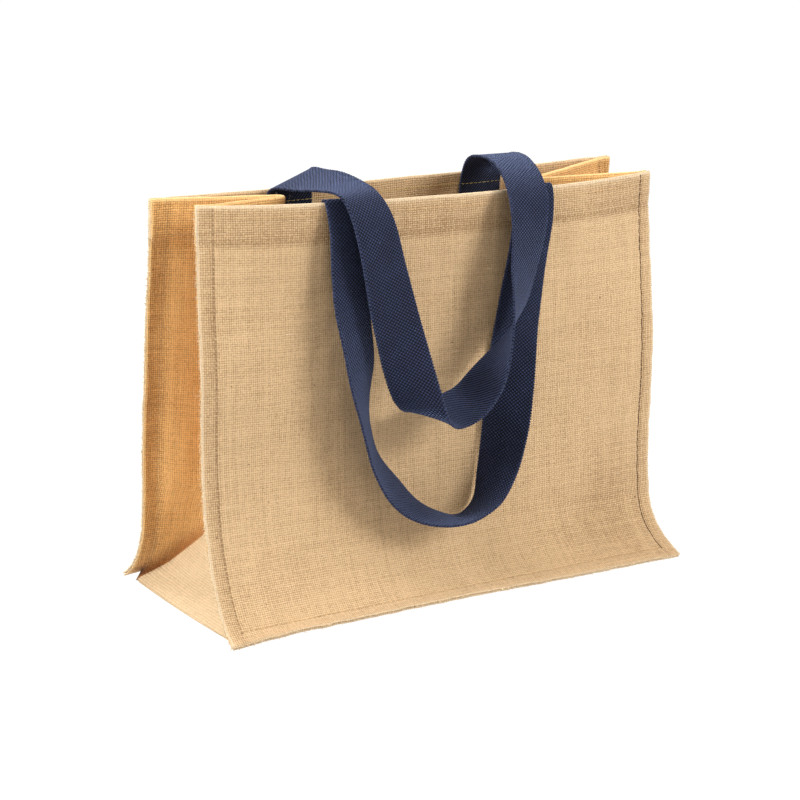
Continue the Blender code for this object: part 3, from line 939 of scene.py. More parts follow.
def handle_webbing(name, panel, run, over_the_rim, seed):
    """A handle, its length, and both its edges for the selvage to follow."""
    middles, edges, places = handle_line(name, panel, run, over_the_rim)
    over = webbing_columns()
    faces = unit(np.cross(np.gradient(middles, axis=0), edges))
    points = middles[:, None] + edges[:, None] * over[:, None]
    points = points + faces[:, None] * webbing_relief(over, places, seed)[..., None]
    flat = np.stack(np.meshgrid(over, places), axis=-1)
    bend = ridge(places - BACK_BEND, BEND_REACH) * (0 if over_the_rim else 1)
    points[..., 2] -= DROOP * bend[:, None] * smooth(0.5 - over / WEBBING_WIDTH)[None] ** 2
    # painted highlight along both edges, where the selvage catches the light, and painted shade on the sewn
    # ends inside the bag
    selvage = smooth(1 - (WEBBING_WIDTH / 2 - np.abs(flat[..., 0])) / (2.2 * MM))
    from_end = np.minimum(flat[..., 1], places[-1] - flat[..., 1])
    marks = {"selvage": selvage, "sewn_flat": smooth((30 * MM - from_end) / (8 * MM))}
    obj = grid_mesh(name + "_webbing", points, flat, marks)
    obj.data.materials.append(None)
    obj.data.materials.append(None)
    thickened(obj, WEBBING * 0.9).material_offset = 1
    print(name, "cut length mm:", round(places[-1] / MM), "faces:", len(obj.data.polygons))
    borders = [(points[:, 0], faces, edges), (points[:, -1], faces, -edges)]
    return baked(obj), float(places[-1]), borders


front_handle, FRONT_LENGTH, front_borders = handle_webbing("front_handle", FRONT, FRONT_RUN, True, 1.0)
back_handle, BACK_LENGTH, back_borders = handle_webbing("back_handle", BACK, BACK_RUN, False, 2.6)

# %% [markdown]
# ## Stitches
#
# A row of stitches repeats one small shape along a line on the cloth, which is
# what Geometry Nodes do best. Each line is a chain of points that carries the
# cloth's outward direction as an attribute. The node tree spaces the stitches
# evenly along it and turns each to the line and to the cloth.


# %% A node tree that sets a shape along lines
def link_nodes(tree, *pairs):
    """Links each (output, input) pair."""
    for source, target in pairs:
        tree.links.new(source, target)


def new_tree(name, inputs):
    """A geometry node tree with named inputs, its group input and its output."""
    tree = bpy.data.node_groups.new(name, "GeometryNodeTree")
    tree.interface.new_socket("Geometry", in_out="INPUT", socket_type="NodeSocketGeometry")
    tree.interface.new_socket("Geometry", in_out="OUTPUT", socket_type="NodeSocketGeometry")
    for label, kind, value in inputs:
        socket = tree.interface.new_socket(label, in_out="INPUT", socket_type="NodeSocket" + kind)
        if value is not None:
            socket.default_value = value
    return tree, tree.nodes.new("NodeGroupInput"), tree.nodes.new("NodeGroupOutput")


def aligned(tree, rotation, axis, pivot, vector):
    """The rotation turned so that its axis points along the vector."""
    node = tree.nodes.new("FunctionNodeAlignRotationToVector")
    node.axis, node.pivot_axis = axis, pivot
    if rotation is not None:
        tree.links.new(rotation, node.inputs["Rotation"])
    tree.links.new(vector, node.inputs["Vector"])
    return node.outputs["Rotation"]


def uneven(tree, rotation, group, seed):
    """The rotation with a random turn, up to the tree's Sway input."""
    turn = tree.nodes.new("FunctionNodeRandomValue")
    turn.data_type = "FLOAT_VECTOR"
    turn.inputs["Seed"].default_value = seed
    low = tree.nodes.new("ShaderNodeVectorMath")
    low.operation = "SCALE"
    low.inputs["Scale"].default_value = -1.0
    euler = tree.nodes.new("FunctionNodeEulerToRotation")
    rotate = tree.nodes.new("FunctionNodeRotateRotation")
    rotate.rotation_space = "LOCAL"
    link_nodes(
        tree,
        (group.outputs["Sway"], low.inputs[0]),
        (low.outputs[0], turn.inputs["Min"]),
        (group.outputs["Sway"], turn.inputs["Max"]),
        (turn.outputs["Value"], euler.inputs["Euler"]),
        (rotation, rotate.inputs["Rotation"]),
        (euler.outputs["Rotation"], rotate.inputs["Rotate By"]),
    )
    return rotate.outputs["Rotation"]


def finish_tree(tree, group, output, points, rotation, seed):
    """Instances of the Shape at the points, made real and given the Finish."""
    info = tree.nodes.new("GeometryNodeObjectInfo")
    size = tree.nodes.new("FunctionNodeRandomValue")
    size.inputs["Seed"].default_value = seed + 50
    place = tree.nodes.new("GeometryNodeInstanceOnPoints")
    real = tree.nodes.new("GeometryNodeRealizeInstances")
    finish = tree.nodes.new("GeometryNodeSetMaterial")
    size_out = next(s for s in size.outputs if s.enabled)
    low, high = [s for s in size.inputs if s.enabled][:2]
    link_nodes(
        tree,
        (group.outputs["Shape"], info.inputs["Object"]),
        (group.outputs["Smallest"], low),
        (group.outputs["Largest"], high),
        (points, place.inputs["Points"]),
        (info.outputs["Geometry"], place.inputs["Instance"]),
        (rotation, place.inputs["Rotation"]),
        (size_out, place.inputs["Scale"]),
        (place.outputs["Instances"], real.inputs["Geometry"]),
        (real.outputs["Geometry"], finish.inputs["Geometry"]),
        (group.outputs["Finish"], finish.inputs["Material"]),
        (finish.outputs["Geometry"], output.inputs["Geometry"]),
    )


COMMON_INPUTS = (
    ("Shape", "Object", None),
    ("Finish", "Material", None),
    ("Sway", "Vector", (0.0, 0.0, 0.0)),
    ("Smallest", "Float", 1.0),
    ("Largest", "Float", 1.0),
)


def along_tree():
    """Sets the Shape at even steps along lines, with X along and Z out of the cloth."""
    tree, group, output = new_tree("along a line", (("Spacing", "Float", 0.005),) + COMMON_INPUTS)
    curve = tree.nodes.new("GeometryNodeMeshToCurve")
    even = tree.nodes.new("GeometryNodeResampleCurve")
    even.mode = "LENGTH"
    tangent = tree.nodes.new("GeometryNodeInputTangent")
    out = tree.nodes.new("GeometryNodeInputNamedAttribute")
    out.data_type = "FLOAT_VECTOR"
    out.inputs["Name"].default_value = "out"
    link_nodes(
        tree,
        (group.outputs["Geometry"], curve.inputs["Mesh"]),
        (curve.outputs["Curve"], even.inputs["Curve"]),
        (group.outputs["Spacing"], even.inputs["Length"]),
    )
    rotation = aligned(tree, None, "X", "AUTO", tangent.outputs["Tangent"])
    rotation = aligned(tree, rotation, "Z", "X", out.outputs["Attribute"])
    rotation = uneven(tree, rotation, group, 8)
    finish_tree(tree, group, output, even.outputs["Curve"], rotation, 8)
    return tree


ALONG = along_tree()
print("tree:", ALONG.name, "with", len(ALONG.nodes), "nodes")


# %% Helpers that use a tree
def set_inputs(modifier, **values):
    """Sets a modifier's inputs by their sockets' identifiers."""
    for item in modifier.node_group.interface.items_tree:
        if item.in_out == "INPUT" and item.name in values:
            modifier[item.identifier] = values[item.name]


def grown(obj, tree, **values):
    """What the tree makes of the object, with nothing of it below the surface."""
    modifier = obj.modifiers.new("grow", "NODES")
    modifier.node_group = tree
    set_inputs(modifier, **values)
    baked(obj)
    places = np.empty(3 * len(obj.data.vertices))
    obj.data.vertices.foreach_get("co", places)
    places[2::3] = np.maximum(places[2::3], 0.2 * MM)
    obj.data.vertices.foreach_set("co", places)
    return obj


def lines_mesh(name, lines):
    """Chains of points, each with its outward direction, as one object."""
    points, edges, outs, start = [], [], [], 0
    for line, out in lines:
        points.append(line)
        outs.append(out)
        numbers = np.arange(start, start + len(line))
        edges.append(np.stack([numbers[:-1], numbers[1:]], axis=-1))
        start += len(line)
    mesh = bpy.data.meshes.new(name)
    mesh.from_pydata(np.concatenate(points).tolist(), np.concatenate(edges).tolist(), [])
    outward = mesh.attributes.new("out", "FLOAT_VECTOR", "POINT")
    outward.data.foreach_set("vector", np.concatenate(outs).ravel())
    obj = bpy.data.objects.new(name, mesh)
    bpy.context.scene.collection.objects.link(obj)
    return obj


def thread_shape(name, path, radii, sides=4):
    """A short thread: rings of points round a path, closed at both ends."""
    path = np.array(path, float)
    along = unit(np.gradient(path, axis=0))
    level = unit(np.cross(along, [0.13, 0.21, 1.0]))
    up = np.cross(level, along)
    rings = []
    for centre, a, b, radius in zip(path, level, up, radii):
        turns = np.arange(sides) * 2 * math.pi / sides
        rings.append(centre + radius * (np.cos(turns)[:, None] * a + np.sin(turns)[:, None] * b))
    faces = []
    for ring in range(len(path) - 1):
        for side in range(sides):
            after = (side + 1) % sides
            low, high = ring * sides, (ring + 1) * sides
            faces.append((low + side, low + after, high + after, high + side))
    last = (len(path) - 1) * sides
    faces += [tuple(range(sides))[::-1], tuple(range(last, last + sides))]
    mesh = bpy.data.meshes.new(name)
    mesh.from_pydata(np.concatenate(rings).tolist(), [], faces)
    mesh.shade_smooth()
    return bpy.data.objects.new(name, mesh)


def stitch_shape(name, length, radius):
    """One stitch: a bow of thread whose ends dip into the cloth."""
    x = np.array([-0.5, -0.42, -0.2, 0.2, 0.42, 0.5]) * length
    z = np.array([-1.8, -0.1, 0.55, 0.55, -0.1, -1.8]) * radius
    path = np.stack([x, x * 0, z], axis=-1)
    return thread_shape(name, path, radius * np.array([0.5, 0.9, 1, 1, 0.9, 0.5]), sides=5)


# %% Lines on the cloth that the needle follows
def panel_line(panel, places, levels, depth, outward=1):
    """A line on a panel, out from its outer face or in from its inner one."""
    places, levels = np.broadcast_arrays(np.asarray(places, float), np.asarray(levels, float))
    return panel.at(places, levels, depth), -outward * panel.inward(places, levels)


SEAM_X = PANEL_WIDTH / 2 - FIN
up_the_side = np.arange(FIN / MM, PANEL_HEIGHT / MM - 1, 2) * MM
along_the_foot = np.arange(-SEAM_X / MM, SEAM_X / MM + 1, 2) * MM
across_the_rim = np.arange(-SEAM_X / MM + 3, SEAM_X / MM - 3, 2) * MM
STRIP_FACE = 2 * CLOTH + GAP            # depth of the strip's outer face in a fin


def side_lines(panel, sides, depth, outward):
    """Lines up a panel's side seams; behind the fin they climb over the hem."""
    if outward < 0:
        depth = depth * (1 + hem_share(up_the_side))
    return [panel_line(panel, side * SEAM_X, up_the_side, depth, outward) for side in sides]


def strip_line(level):
    """A line across each gusset, on the strip's outer face."""
    lines = []
    for half in (strip_level * (strip_along < 0), strip_level * (strip_along > 0)):
        row = int(np.argmin(np.abs(half - level)))
        keep = slice(len(FIN_SHARES) + 2, -len(FIN_SHARES) - 2)
        lines.append((strip_outer[row, keep], strip_normals[row, keep]))
    return lines


def inside_line(panel, level, sewn):
    """A line on a panel's inside that climbs over the sewn ends of a handle."""
    depth = 2 * CLOTH + 0.15 * MM
    half = WEBBING_WIDTH / 2
    over = sum(smooth((half + 1 * MM - np.abs(across_the_rim - at * MM)) / (1 * MM)) for at in sewn)
    return panel_line(panel, across_the_rim, level, depth + over * (WEBBING + SEWN_GAP), -1)


# %% Thread finishes and the rows of stitches
def thread_finish(name, colour, roughness=0.75):
    """Thread or fibre whose tone wanders a little along it."""
    material = bpy.data.materials.new(name)
    material.use_nodes = True
    shader = material.node_tree.nodes["Principled BSDF"]
    shader.inputs["Roughness"].default_value = roughness
    noise = material.node_tree.nodes.new("ShaderNodeTexNoise")
    noise.inputs["Scale"].default_value = 900
    place = material.node_tree.nodes.new("ShaderNodeTexCoord")
    ramp = material.node_tree.nodes.new("ShaderNodeValToRGB")
    ramp.color_ramp.elements[0].position, ramp.color_ramp.elements[1].position = 0.3, 0.7
    ramp.color_ramp.elements[0].color = (*[c * 0.62 for c in colour], 1)
    ramp.color_ramp.elements[1].color = (*[min(c * 1.25, 1) for c in colour], 1)
    link_nodes(
        material.node_tree,
        (place.outputs["Object"], noise.inputs["Vector"]),
        (noise.outputs["Fac"], ramp.inputs["Fac"]),
        (ramp.outputs["Color"], shader.inputs["Base Color"]),
    )
    return material


dark_thread = thread_finish("dark seam thread", (0.11, 0.055, 0.022))
brown_thread = thread_finish("brown seam thread", (0.30, 0.18, 0.085))
tan_thread = thread_finish("tan thread", (0.55, 0.37, 0.19))
ochre_thread = thread_finish("ochre thread", (0.52, 0.40, 0.13))

left_seams = side_lines(FRONT, (-1,), -0.05 * MM, 1) + side_lines(BACK, (-1,), -0.05 * MM, 1)
right_seams = side_lines(FRONT, (1,), -0.1 * MM, 1) + side_lines(BACK, (1,), -0.1 * MM, 1)
fin_backs = side_lines(FRONT, (-1, 1), STRIP_FACE, -1) + side_lines(BACK, (-1, 1), STRIP_FACE, -1)
foot_seams = [panel_line(p, along_the_foot, FIN, -0.1 * MM) for p in (FRONT, BACK)]
hem_rows_outside = [panel_line(p, across_the_rim, HEM_LINE, -0.05 * MM) for p in (FRONT, BACK)]
edge_rows = [panel_line(p, across_the_rim, EDGE_LINE, -0.05 * MM) for p in (FRONT, BACK)]
inside_rows = [
    inside_line(panel, level, SEWN[name])
    for panel, name in ((FRONT, "front_handle"), (BACK, "back_handle"))
    for level in (EDGE_LINE, HEM_LINE)
]
hem_lines = hem_rows_outside + edge_rows + strip_line(HEM_LINE)
STITCH_SWAY = (0.12, 0.05, 0.07)        # random turn of a stitch, radians
NEARLY_EVEN = {"Smallest": 0.9, "Largest": 1.08}
STITCHING = (
    # piece, lines, spacing mm, stitch mm, radius mm, thread, slot
    ("left_seam_stitches", left_seams, 3.6, 2.9, 0.30, brown_thread, "front_panel"),
    ("right_seam_stitches", right_seams, 3.6, 3.7, 0.36, dark_thread, "front_panel"),
    ("fin_back_stitches", fin_backs, 3.6, 3.0, 0.16, tan_thread, "side_and_base_strip"),
    ("foot_seam_stitches", foot_seams, 4.2, 3.4, 0.34, tan_thread, "front_panel"),
    ("hem_stitches", hem_lines, 4.0, 3.1, 0.34, tan_thread, "back_panel"),
    ("inner_hem_stitches", inside_rows, 4.0, 2.9, 0.27, ochre_thread, "back_panel"),
)
stitch_pieces = []
for name, lines, spacing, length, radius, thread, slot in STITCHING:
    shape = stitch_shape(name + " shape", length * MM, radius * MM)
    row = lines_mesh(name, lines)
    values = {"Spacing": spacing * MM, "Shape": shape, "Finish": thread}
    grown(row, ALONG, **values, Sway=STITCH_SWAY, **NEARLY_EVEN)
    bpy.data.objects.remove(shape)
    stitch_pieces.append((row, slot))
    print(name, "faces:", len(row.data.polygons))

# %% [markdown]
# ## The webbing's selvage
#
# Along both edges of woven tape the crosswise yarn turns back on itself, once
# every two or three millimetres. Those small loops make the edge look finely
# notched. One loop is a thread bent round the edge, and the tree repeats it.


# %% Loops round the handles' edges
LOOP_STEP = 2.3 * MM                    # from one turn of the crosswise yarn to the next
LOOP_SWAY = (0.1, 0.05, 0.12)           # random turn of a loop, radians


def loop_shape(length, reach):
    """One loop of yarn bent round the webbing's edge."""
    turns = np.linspace(-math.pi / 2, math.pi / 2, 7)
    path = np.stack([length * turns / math.pi, reach * np.cos(turns), -0.95 * MM * np.sin(turns)], axis=-1)
    path[:, 1] -= 0.9 * MM
    return thread_shape("loop", path, 0.36 * MM * np.array([0.5, 1, 1, 1, 1, 1, 0.5]))


def edge_line(points, outs, away):
    """The line in the order that makes its shapes point away from the cloth."""
    side = np.sum(np.cross(outs, np.gradient(points, axis=0)) * away)
    return (points, outs) if side > 0 else (points[::-1], outs[::-1])


selvages = []
navy_thread = thread_finish("navy selvage", (0.022, 0.030, 0.075), 0.7)
for name, borders in (("front_handle", front_borders), ("back_handle", back_borders)):
    shape = loop_shape(1.3 * MM, 1.35 * MM)
    piece = lines_mesh(name + "_selvage", [edge_line(*border) for border in borders])
    values = {"Spacing": LOOP_STEP, "Shape": shape, "Finish": navy_thread}
    grown(piece, ALONG, **values, Sway=LOOP_SWAY, **NEARLY_EVEN)
    bpy.data.objects.remove(shape)
    selvages.append((piece, name))
    print(piece.name, "faces:", len(piece.data.polygons))

# %% [markdown]
# ## Frayed edges and loose fibres
#
# Burlap is woven from thick, hairy jute yarn. Where it is cut, the crosswise
# yarns stick out of the edge like a short fringe, and everywhere thin fibres
# stand off the surface. Both soften the outline, which is how the eye tells
# burlap from smooth canvas. The fringe uses the same tree as the stitches.


# %% Yarn ends along the cut edges
def yarn_shape(name, length, radius, bend):
    """A yarn end that starts inside the cloth and points along Y, past its edge."""
    t = np.array([-0.5, 0.0, 0.4, 0.75, 1.0])
    path = np.stack([bend * length * t**2, t * length, 0.25 * bend * length * t**3], axis=-1)
    return thread_shape(name, path, radius * np.array([0.8, 1.0, 0.85, 0.6, 0.25]))


def cut_edges():
    """Lines along the side and lower cut edges of the panels and of the strip's fins."""
    lines = []
    up = np.arange(2, PANEL_HEIGHT / MM - 2, 2) * MM
    along = np.arange(-PANEL_WIDTH / 2 / MM + 1, PANEL_WIDTH / 2 / MM, 2) * MM
    for panel in (FRONT, BACK):
        for depth in (LAYER / 2, STRIP_FACE - LAYER / 2):
            for side in (-1, 1):
                level = depth * (1 + hem_share(up))
                points, outs = panel_line(panel, side * (PANEL_WIDTH / 2 - 0.3 * MM), up, level)
                lines.append(edge_line(points, outs, np.array([side, 0, 0])))
            points, outs = panel_line(panel, along, 0.3 * MM, depth)
            lines.append(edge_line(points, outs, np.array([0, panel.face, -0.5])))
    return lines


yarn_finish = thread_finish("frayed yarn", (0.78, 0.62, 0.40), 0.9)
YARN_ENDS = (
    # piece, spacing mm, length mm, radius mm, bend
    ("frayed_edge_1", 2.1, 1.5, 0.48, 0.25),
    ("frayed_edge_2", 5.3, 2.6, 0.26, -0.5),
)
YARN_SWAY = (0.35, 0.3, 0.5)            # frayed ends point every way
fray = []
for name, spacing, length, radius, bend in YARN_ENDS:
    shape = yarn_shape("yarn", length * MM, radius * MM, bend)
    piece = lines_mesh(name, cut_edges())
    values = {"Spacing": spacing * MM, "Shape": shape, "Finish": yarn_finish}
    grown(piece, ALONG, **values, Sway=YARN_SWAY, Smallest=0.45, Largest=1.1)
    bpy.data.objects.remove(shape)
    fray.append(piece)
    print(piece.name, "faces:", len(piece.data.polygons))


# %% Loose fibres over the faces
def scatter_tree():
    """Sets the Shape at random places on the cloth, standing off its face."""
    inputs = (("Density", "Float", 1000.0), ("Seed", "Int", 1)) + COMMON_INPUTS
    tree, group, output = new_tree("scattered over cloth", inputs)
    scatter = tree.nodes.new("GeometryNodeDistributePointsOnFaces")
    link_nodes(
        tree,
        (group.outputs["Geometry"], scatter.inputs["Mesh"]),
        (group.outputs["Density"], scatter.inputs["Density"]),
        (group.outputs["Seed"], scatter.inputs["Seed"]),
    )
    rotation = uneven(tree, scatter.outputs["Rotation"], group, 21)
    finish_tree(tree, group, output, scatter.outputs["Points"], rotation, 21)
    return tree


SCATTER = scatter_tree()
print("tree:", SCATTER.name, "with", len(SCATTER.nodes), "nodes")


def fibre_shape(name, length, curl, rise, radius):
    """A hair that leaves the cloth, lies along it in a curl and lifts its tip."""
    t = np.linspace(0, 1, 7)
    x = length * (np.sin(curl * t) / curl)
    y = length * ((1 - np.cos(curl * t)) / curl)
    z = rise * (np.sin(math.pi * t) * 0.6 + t * 0.4) - 0.2 * MM * (t == 0)
    return thread_shape(name, np.stack([x, y, z], axis=-1), radius * (1 - 0.5 * t), sides=3)


fibre_finish = thread_finish("loose fibre", (0.86, 0.72, 0.50), 0.8)
FIBRES = (
    # piece, on which cloth, per square metre, length mm, curl rad, rise mm, radius mm, seed
    ("short_fibres_front", front_panel, 5200, 4.0, 1.6, 1.1, 0.060, 1),
    ("long_fibres_front", front_panel, 900, 9.0, 3.4, 1.8, 0.065, 2),
    ("short_fibres_back", back_panel, 4000, 4.0, 1.6, 1.1, 0.060, 3),
    ("short_fibres_strip", strip, 4000, 4.5, 2.0, 1.0, 0.060, 4),
    ("long_fibres_strip", strip, 900, 10.0, 3.0, 1.8, 0.065, 5),
)
FIBRE_SWAY = (0.35, 0.35, math.pi)      # any way round, and a little tilted
fibre_pieces = []
for name, cloth, density, length, curl, rise, radius, seed in FIBRES:
    shape = fibre_shape("fibre", length * MM, curl, rise * MM, radius * MM)
    piece = bpy.data.objects.new(name, cloth.data.copy())
    bpy.context.scene.collection.objects.link(piece)
    values = {"Density": density, "Seed": seed, "Shape": shape, "Finish": fibre_finish}
    grown(piece, SCATTER, **values, Sway=FIBRE_SWAY, Smallest=0.5, Largest=1.4)
    bpy.data.objects.remove(shape)
    fibre_pieces.append(piece)
    print(name, "faces:", len(piece.data.polygons))

# %% [markdown]
# ## Burlap
#
# Plain weave: each warp yarn passes over one weft yarn and under the next. At
# under two millimetres a yarn, real crossings would take over a million faces,
# so the weave is drawn from the flat UV map, in colour and in bump alike: a
# pillow for each crossing with its top painted lighter, painted shade in the
# gaps between, yarns that differ in tone and thickness, and now and then a
# thick slub or a speck of bark.


# %% Little helpers for material nodes
class Recipe:
    """Adds nodes to a material's tree, so that a pattern reads as arithmetic."""

    def __init__(self, name, roughness):
        self.material = bpy.data.materials.new(name)
        self.material.use_nodes = True
        self.tree = self.material.node_tree
        self.shader = self.tree.nodes["Principled BSDF"]
        self.shader.inputs["Roughness"].default_value = roughness

    def fill(self, node, values):
        """Sets or links a node's inputs in order, and gives its first output."""
        for socket, value in zip(node.inputs, values):
            if isinstance(value, (int, float)):
                socket.default_value = value
            else:
                self.tree.links.new(value, socket)
        return node.outputs[0]

    def math(self, operation, *values):
        node = self.tree.nodes.new("ShaderNodeMath")
        node.operation = operation
        return self.fill(node, values)

    def times(self, a, b):
        return self.math("MULTIPLY", a, b)

    def place(self, u, v):
        return self.fill(self.tree.nodes.new("ShaderNodeCombineXYZ"), (u, v))

    def noise(self, vector, scale, detail=2.0):
        node = self.tree.nodes.new("ShaderNodeTexNoise")
        node.inputs["Scale"].default_value = scale
        node.inputs["Detail"].default_value = detail
        self.tree.links.new(vector, node.inputs["Vector"])
        return node.outputs["Fac"]

    def grain(self, u, v, fine_u, fine_v, detail=2.0):
        """Noise that is finer one way than the other, as yarns and slubs are."""
        return self.noise(self.place(self.times(u, fine_u), self.times(v, fine_v)), 1.0, detail)

    def chance(self, value):
        """A random number for each whole value."""
        node = self.tree.nodes.new("ShaderNodeTexWhiteNoise")
        node.noise_dimensions = "1D"
        self.tree.links.new(value, node.inputs["W"])
        return node.outputs["Value"]

    def between(self, value, low, high):
        """0 below low, 1 above high, and smooth between."""
        node = self.tree.nodes.new("ShaderNodeMapRange")
        node.interpolation_type = "SMOOTHSTEP"
        self.tree.links.new(value, node.inputs["Value"])
        node.inputs["From Min"].default_value = low
        node.inputs["From Max"].default_value = high
        return node.outputs["Result"]

    def blend(self, share, a, b):
        """a where the share is 0 and b where it is 1, as numbers."""
        return self.math("ADD", a, self.times(share, self.math("SUBTRACT", b, a)))

    def tint(self, share, a, b, way="MIX"):
        """Colour a tinted by colour b, as far as the share says."""
        node = self.tree.nodes.new("ShaderNodeMix")
        node.data_type, node.blend_type = "RGBA", way
        if isinstance(share, (int, float)):
            node.inputs["Factor"].default_value = share
        else:
            self.tree.links.new(share, node.inputs["Factor"])
        for socket, value in ((node.inputs[6], a), (node.inputs[7], b)):
            if isinstance(value, tuple):
                socket.default_value = (*value, 1)
            else:
                self.tree.links.new(value, socket)
        return node.outputs[2]

    def mark(self, name):
        """A mark that was laid on the cloth when its mesh was made."""
        node = self.tree.nodes.new("ShaderNodeAttribute")
        node.attribute_name = name
        return node.outputs["Fac"]

    def flat(self):
        """Places over and along the flat cloth, in metres, apart and as one vector."""
        node = self.tree.nodes.new("ShaderNodeUVMap")
        node.uv_map = "flat"
        split = self.tree.nodes.new("ShaderNodeSeparateXYZ")
        self.tree.links.new(node.outputs["UV"], split.inputs[0])
        return split.outputs[0], split.outputs[1], node.outputs["UV"]

    def finish(self, colour, height, depth, strength):
        """The material, once its colour and its bump are linked."""
        bump = self.tree.nodes.new("ShaderNodeBump")
        bump.inputs["Distance"].default_value = depth
        bump.inputs["Strength"].default_value = strength
        link_nodes(
            self.tree,
            (height, bump.inputs["Height"]),
            (bump.outputs["Normal"], self.shader.inputs["Normal"]),
            (colour, self.shader.inputs["Base Color"]),
        )
        return self.material


# %% The weave and its colours
YARN = 1.75 * MM                        # from one yarn to the next
BURLAP_PALE = (0.70, 0.488, 0.272)
BURLAP_DEEP = (0.27, 0.148, 0.058)
FOLD_BOUNCE_TINT = (1.24, 1.04, 0.68)          # multiplies: painted warm light, bounced between the gusset's shaded halves
CREASE_SHADE_TINT = (0.42, 0.26, 0.12)     # multiplies: painted shade, brown down in the gusset's crease
# painted highlight on the gusset's lit triangle
LIT_FOLD = (0.80, 0.70, 0.48)
SLUB_COLOUR = (0.90, 0.72, 0.46)        # a thick, soft, paler place in a yarn
BARK = (0.16, 0.08, 0.035)
CUT_ENDS = (0.88, 0.75, 0.54)


def wandering(r, along, other, uv):
    """The place along, pushed about as unevenly as hand-fed yarn lies."""
    slow = r.math("MULTIPLY_ADD", r.noise(uv, 42), 1.6 * MM, along)
    return r.math("MULTIPLY_ADD", r.grain(along, other, 420, 26), 1.0 * MM, slow)


def pillow(r, across, along):
    """The top of a yarn in one crossing: narrow across it and long along it."""
    narrow = r.math("SUBTRACT", 1.0, r.times(r.times(across, across), 3.6))
    long = r.math("SUBTRACT", 1.0, r.times(r.times(along, along), 1.9))
    return r.math("MAXIMUM", r.times(narrow, long), 0.0)


def weave(r, u, v, uv):
    """The numbers of the yarns that cross at a place, which is on top, and its height."""
    a = r.math("DIVIDE", wandering(r, u, v, uv), YARN)
    b = r.math("DIVIDE", wandering(r, v, u, uv), YARN)
    warp, weft = r.math("FLOOR", a), r.math("FLOOR", b)
    over = r.math("PINGPONG", r.math("ADD", warp, weft), 1.0)
    x, y = (r.math("SUBTRACT", r.math("FRACT", side), 0.5) for side in (a, b))
    height = r.blend(over, pillow(r, y, x), pillow(r, x, y))
    return warp, weft, over, r.math("MULTIPLY_ADD", r.noise(uv, 1900, 3.0), 0.35, height)


def lightness(r, u, v, uv, warp, weft, over, height):
    """How pale the cloth is: yarn tops painted lighter and gaps in painted shade, a little of everything
    that varies, and the painted shade of the marks.
    """
    yarn = r.blend(over, r.chance(weft), r.chance(warp))
    crossing = r.chance(r.math("ADD", r.times(warp, 12.7), r.times(weft, 7.31)))
    varied = (
        # what varies, how much, and what that takes off again
        (crossing, 0.15, -0.10),
        (r.grain(u, v, 330, 14, 3.0), 0.24, -0.12),     # streaks up the cloth
        (r.grain(u, v, 14, 330, 3.0), 0.17, -0.08),     # streaks over it
        (r.noise(uv, 17, 3.0), 0.26, -0.10),            # broad blotches
        (r.noise(uv, 760, 2.0), 0.58, -0.26),           # hairs
    )
    # yarn tops painted lighter and the gaps between them in painted shade
    light = r.math("MULTIPLY_ADD", yarn, 0.16, r.times(height, 0.62))
    for what, much, less in varied:
        light = r.math("ADD", light, r.math("MULTIPLY_ADD", what, much, less))
    # painted shade: darker where the cloth lies double, at the seams and in the low right corner
    return r.math("SUBTRACT", light, r.times(r.mark("doubled"), 0.20))


def burlap_finish(name, pale, deep):
    """Burlap: woven colour and bump, slubs, bark, pale cut edges and the folds' painted light and shade."""
    r = Recipe(name, 0.92)
    u, v, uv = r.flat()
    warp, weft, over, height = weave(r, u, v, uv)
    light = lightness(r, u, v, uv, warp, weft, over, height)
    slub = r.between(r.grain(u, v, 60, 620), 0.70, 0.76)
    speck = r.between(r.grain(u, v, 260, 420, 0.0), 0.85, 0.88)
    colour = r.tint(r.between(light, 0.0, 0.82), deep, pale)
    colour = r.tint(r.times(slub, 0.5), colour, SLUB_COLOUR)
    colour = r.tint(r.times(speck, 0.75), colour, BARK)
    colour = r.tint(r.times(r.mark("cut_edge"), 0.60), colour, CUT_ENDS)
    # painted light of the gusset's folds: warm bounce in its halves, a highlight on its triangle, shade in
    # its crease
    colour = r.tint(r.mark("shaded_fold"), colour, FOLD_BOUNCE_TINT, "MULTIPLY")
    colour = r.tint(r.times(r.mark("lit_fold"), 0.35), colour, LIT_FOLD)
    colour = r.tint(r.mark("deep_fold"), colour, CREASE_SHADE_TINT, "MULTIPLY")
    r.shader.inputs["Sheen Weight"].default_value = 0.12
    r.shader.inputs["Sheen Roughness"].default_value = 0.6
    r.shader.inputs["Specular IOR Level"].default_value = 0.25
    return r.finish(colour, r.math("MULTIPLY_ADD", slub, 0.5, height), 0.55 * MM, 0.9)


burlap = burlap_finish("burlap", BURLAP_PALE, BURLAP_DEEP)
print("burlap's nodes:", len(burlap.node_tree.nodes))

# %% [markdown]
# ## Navy webbing
#
# The handles are twilled cotton tape: fine ribs slant across one face, and the
# other face has a pebbled look where the ribs break up. The tape's two edges
# turn back into a thicker selvage that catches the light; that light is a
# painted highlight along the edges. Ribs are sine waves over the flat tape, in
# bump and in colour, with their tops and the pebbles painted lighter and the
# furrows in painted shade: cheaper than modelled yarn, and even at every bend.
# The sewn ends, deep inside the bag, get painted shade.


# %% Twill on one face, pebbles on the other
NAVY_DEEP = (0.0012, 0.0017, 0.007)
NAVY_PALE = (0.034, 0.050, 0.125)
LINT = (0.30, 0.36, 0.55)
SEWN_END_SHADE = (0.002, 0.0025, 0.005)      # painted shade on the sewn ends, deep inside the bag
SHEEN = (0.42, 0.55, 1.0, 1.0)          # cotton's short hairs, at a glancing angle
ROW_STEP = 0.95 * MM                    # from one crosswise yarn to the next
RIB_STEP = 2.6 * MM                     # along the tape, from rib to rib
PEBBLE_STEPS = (3.2 * MM, 2.9 * MM)     # over and along the tape


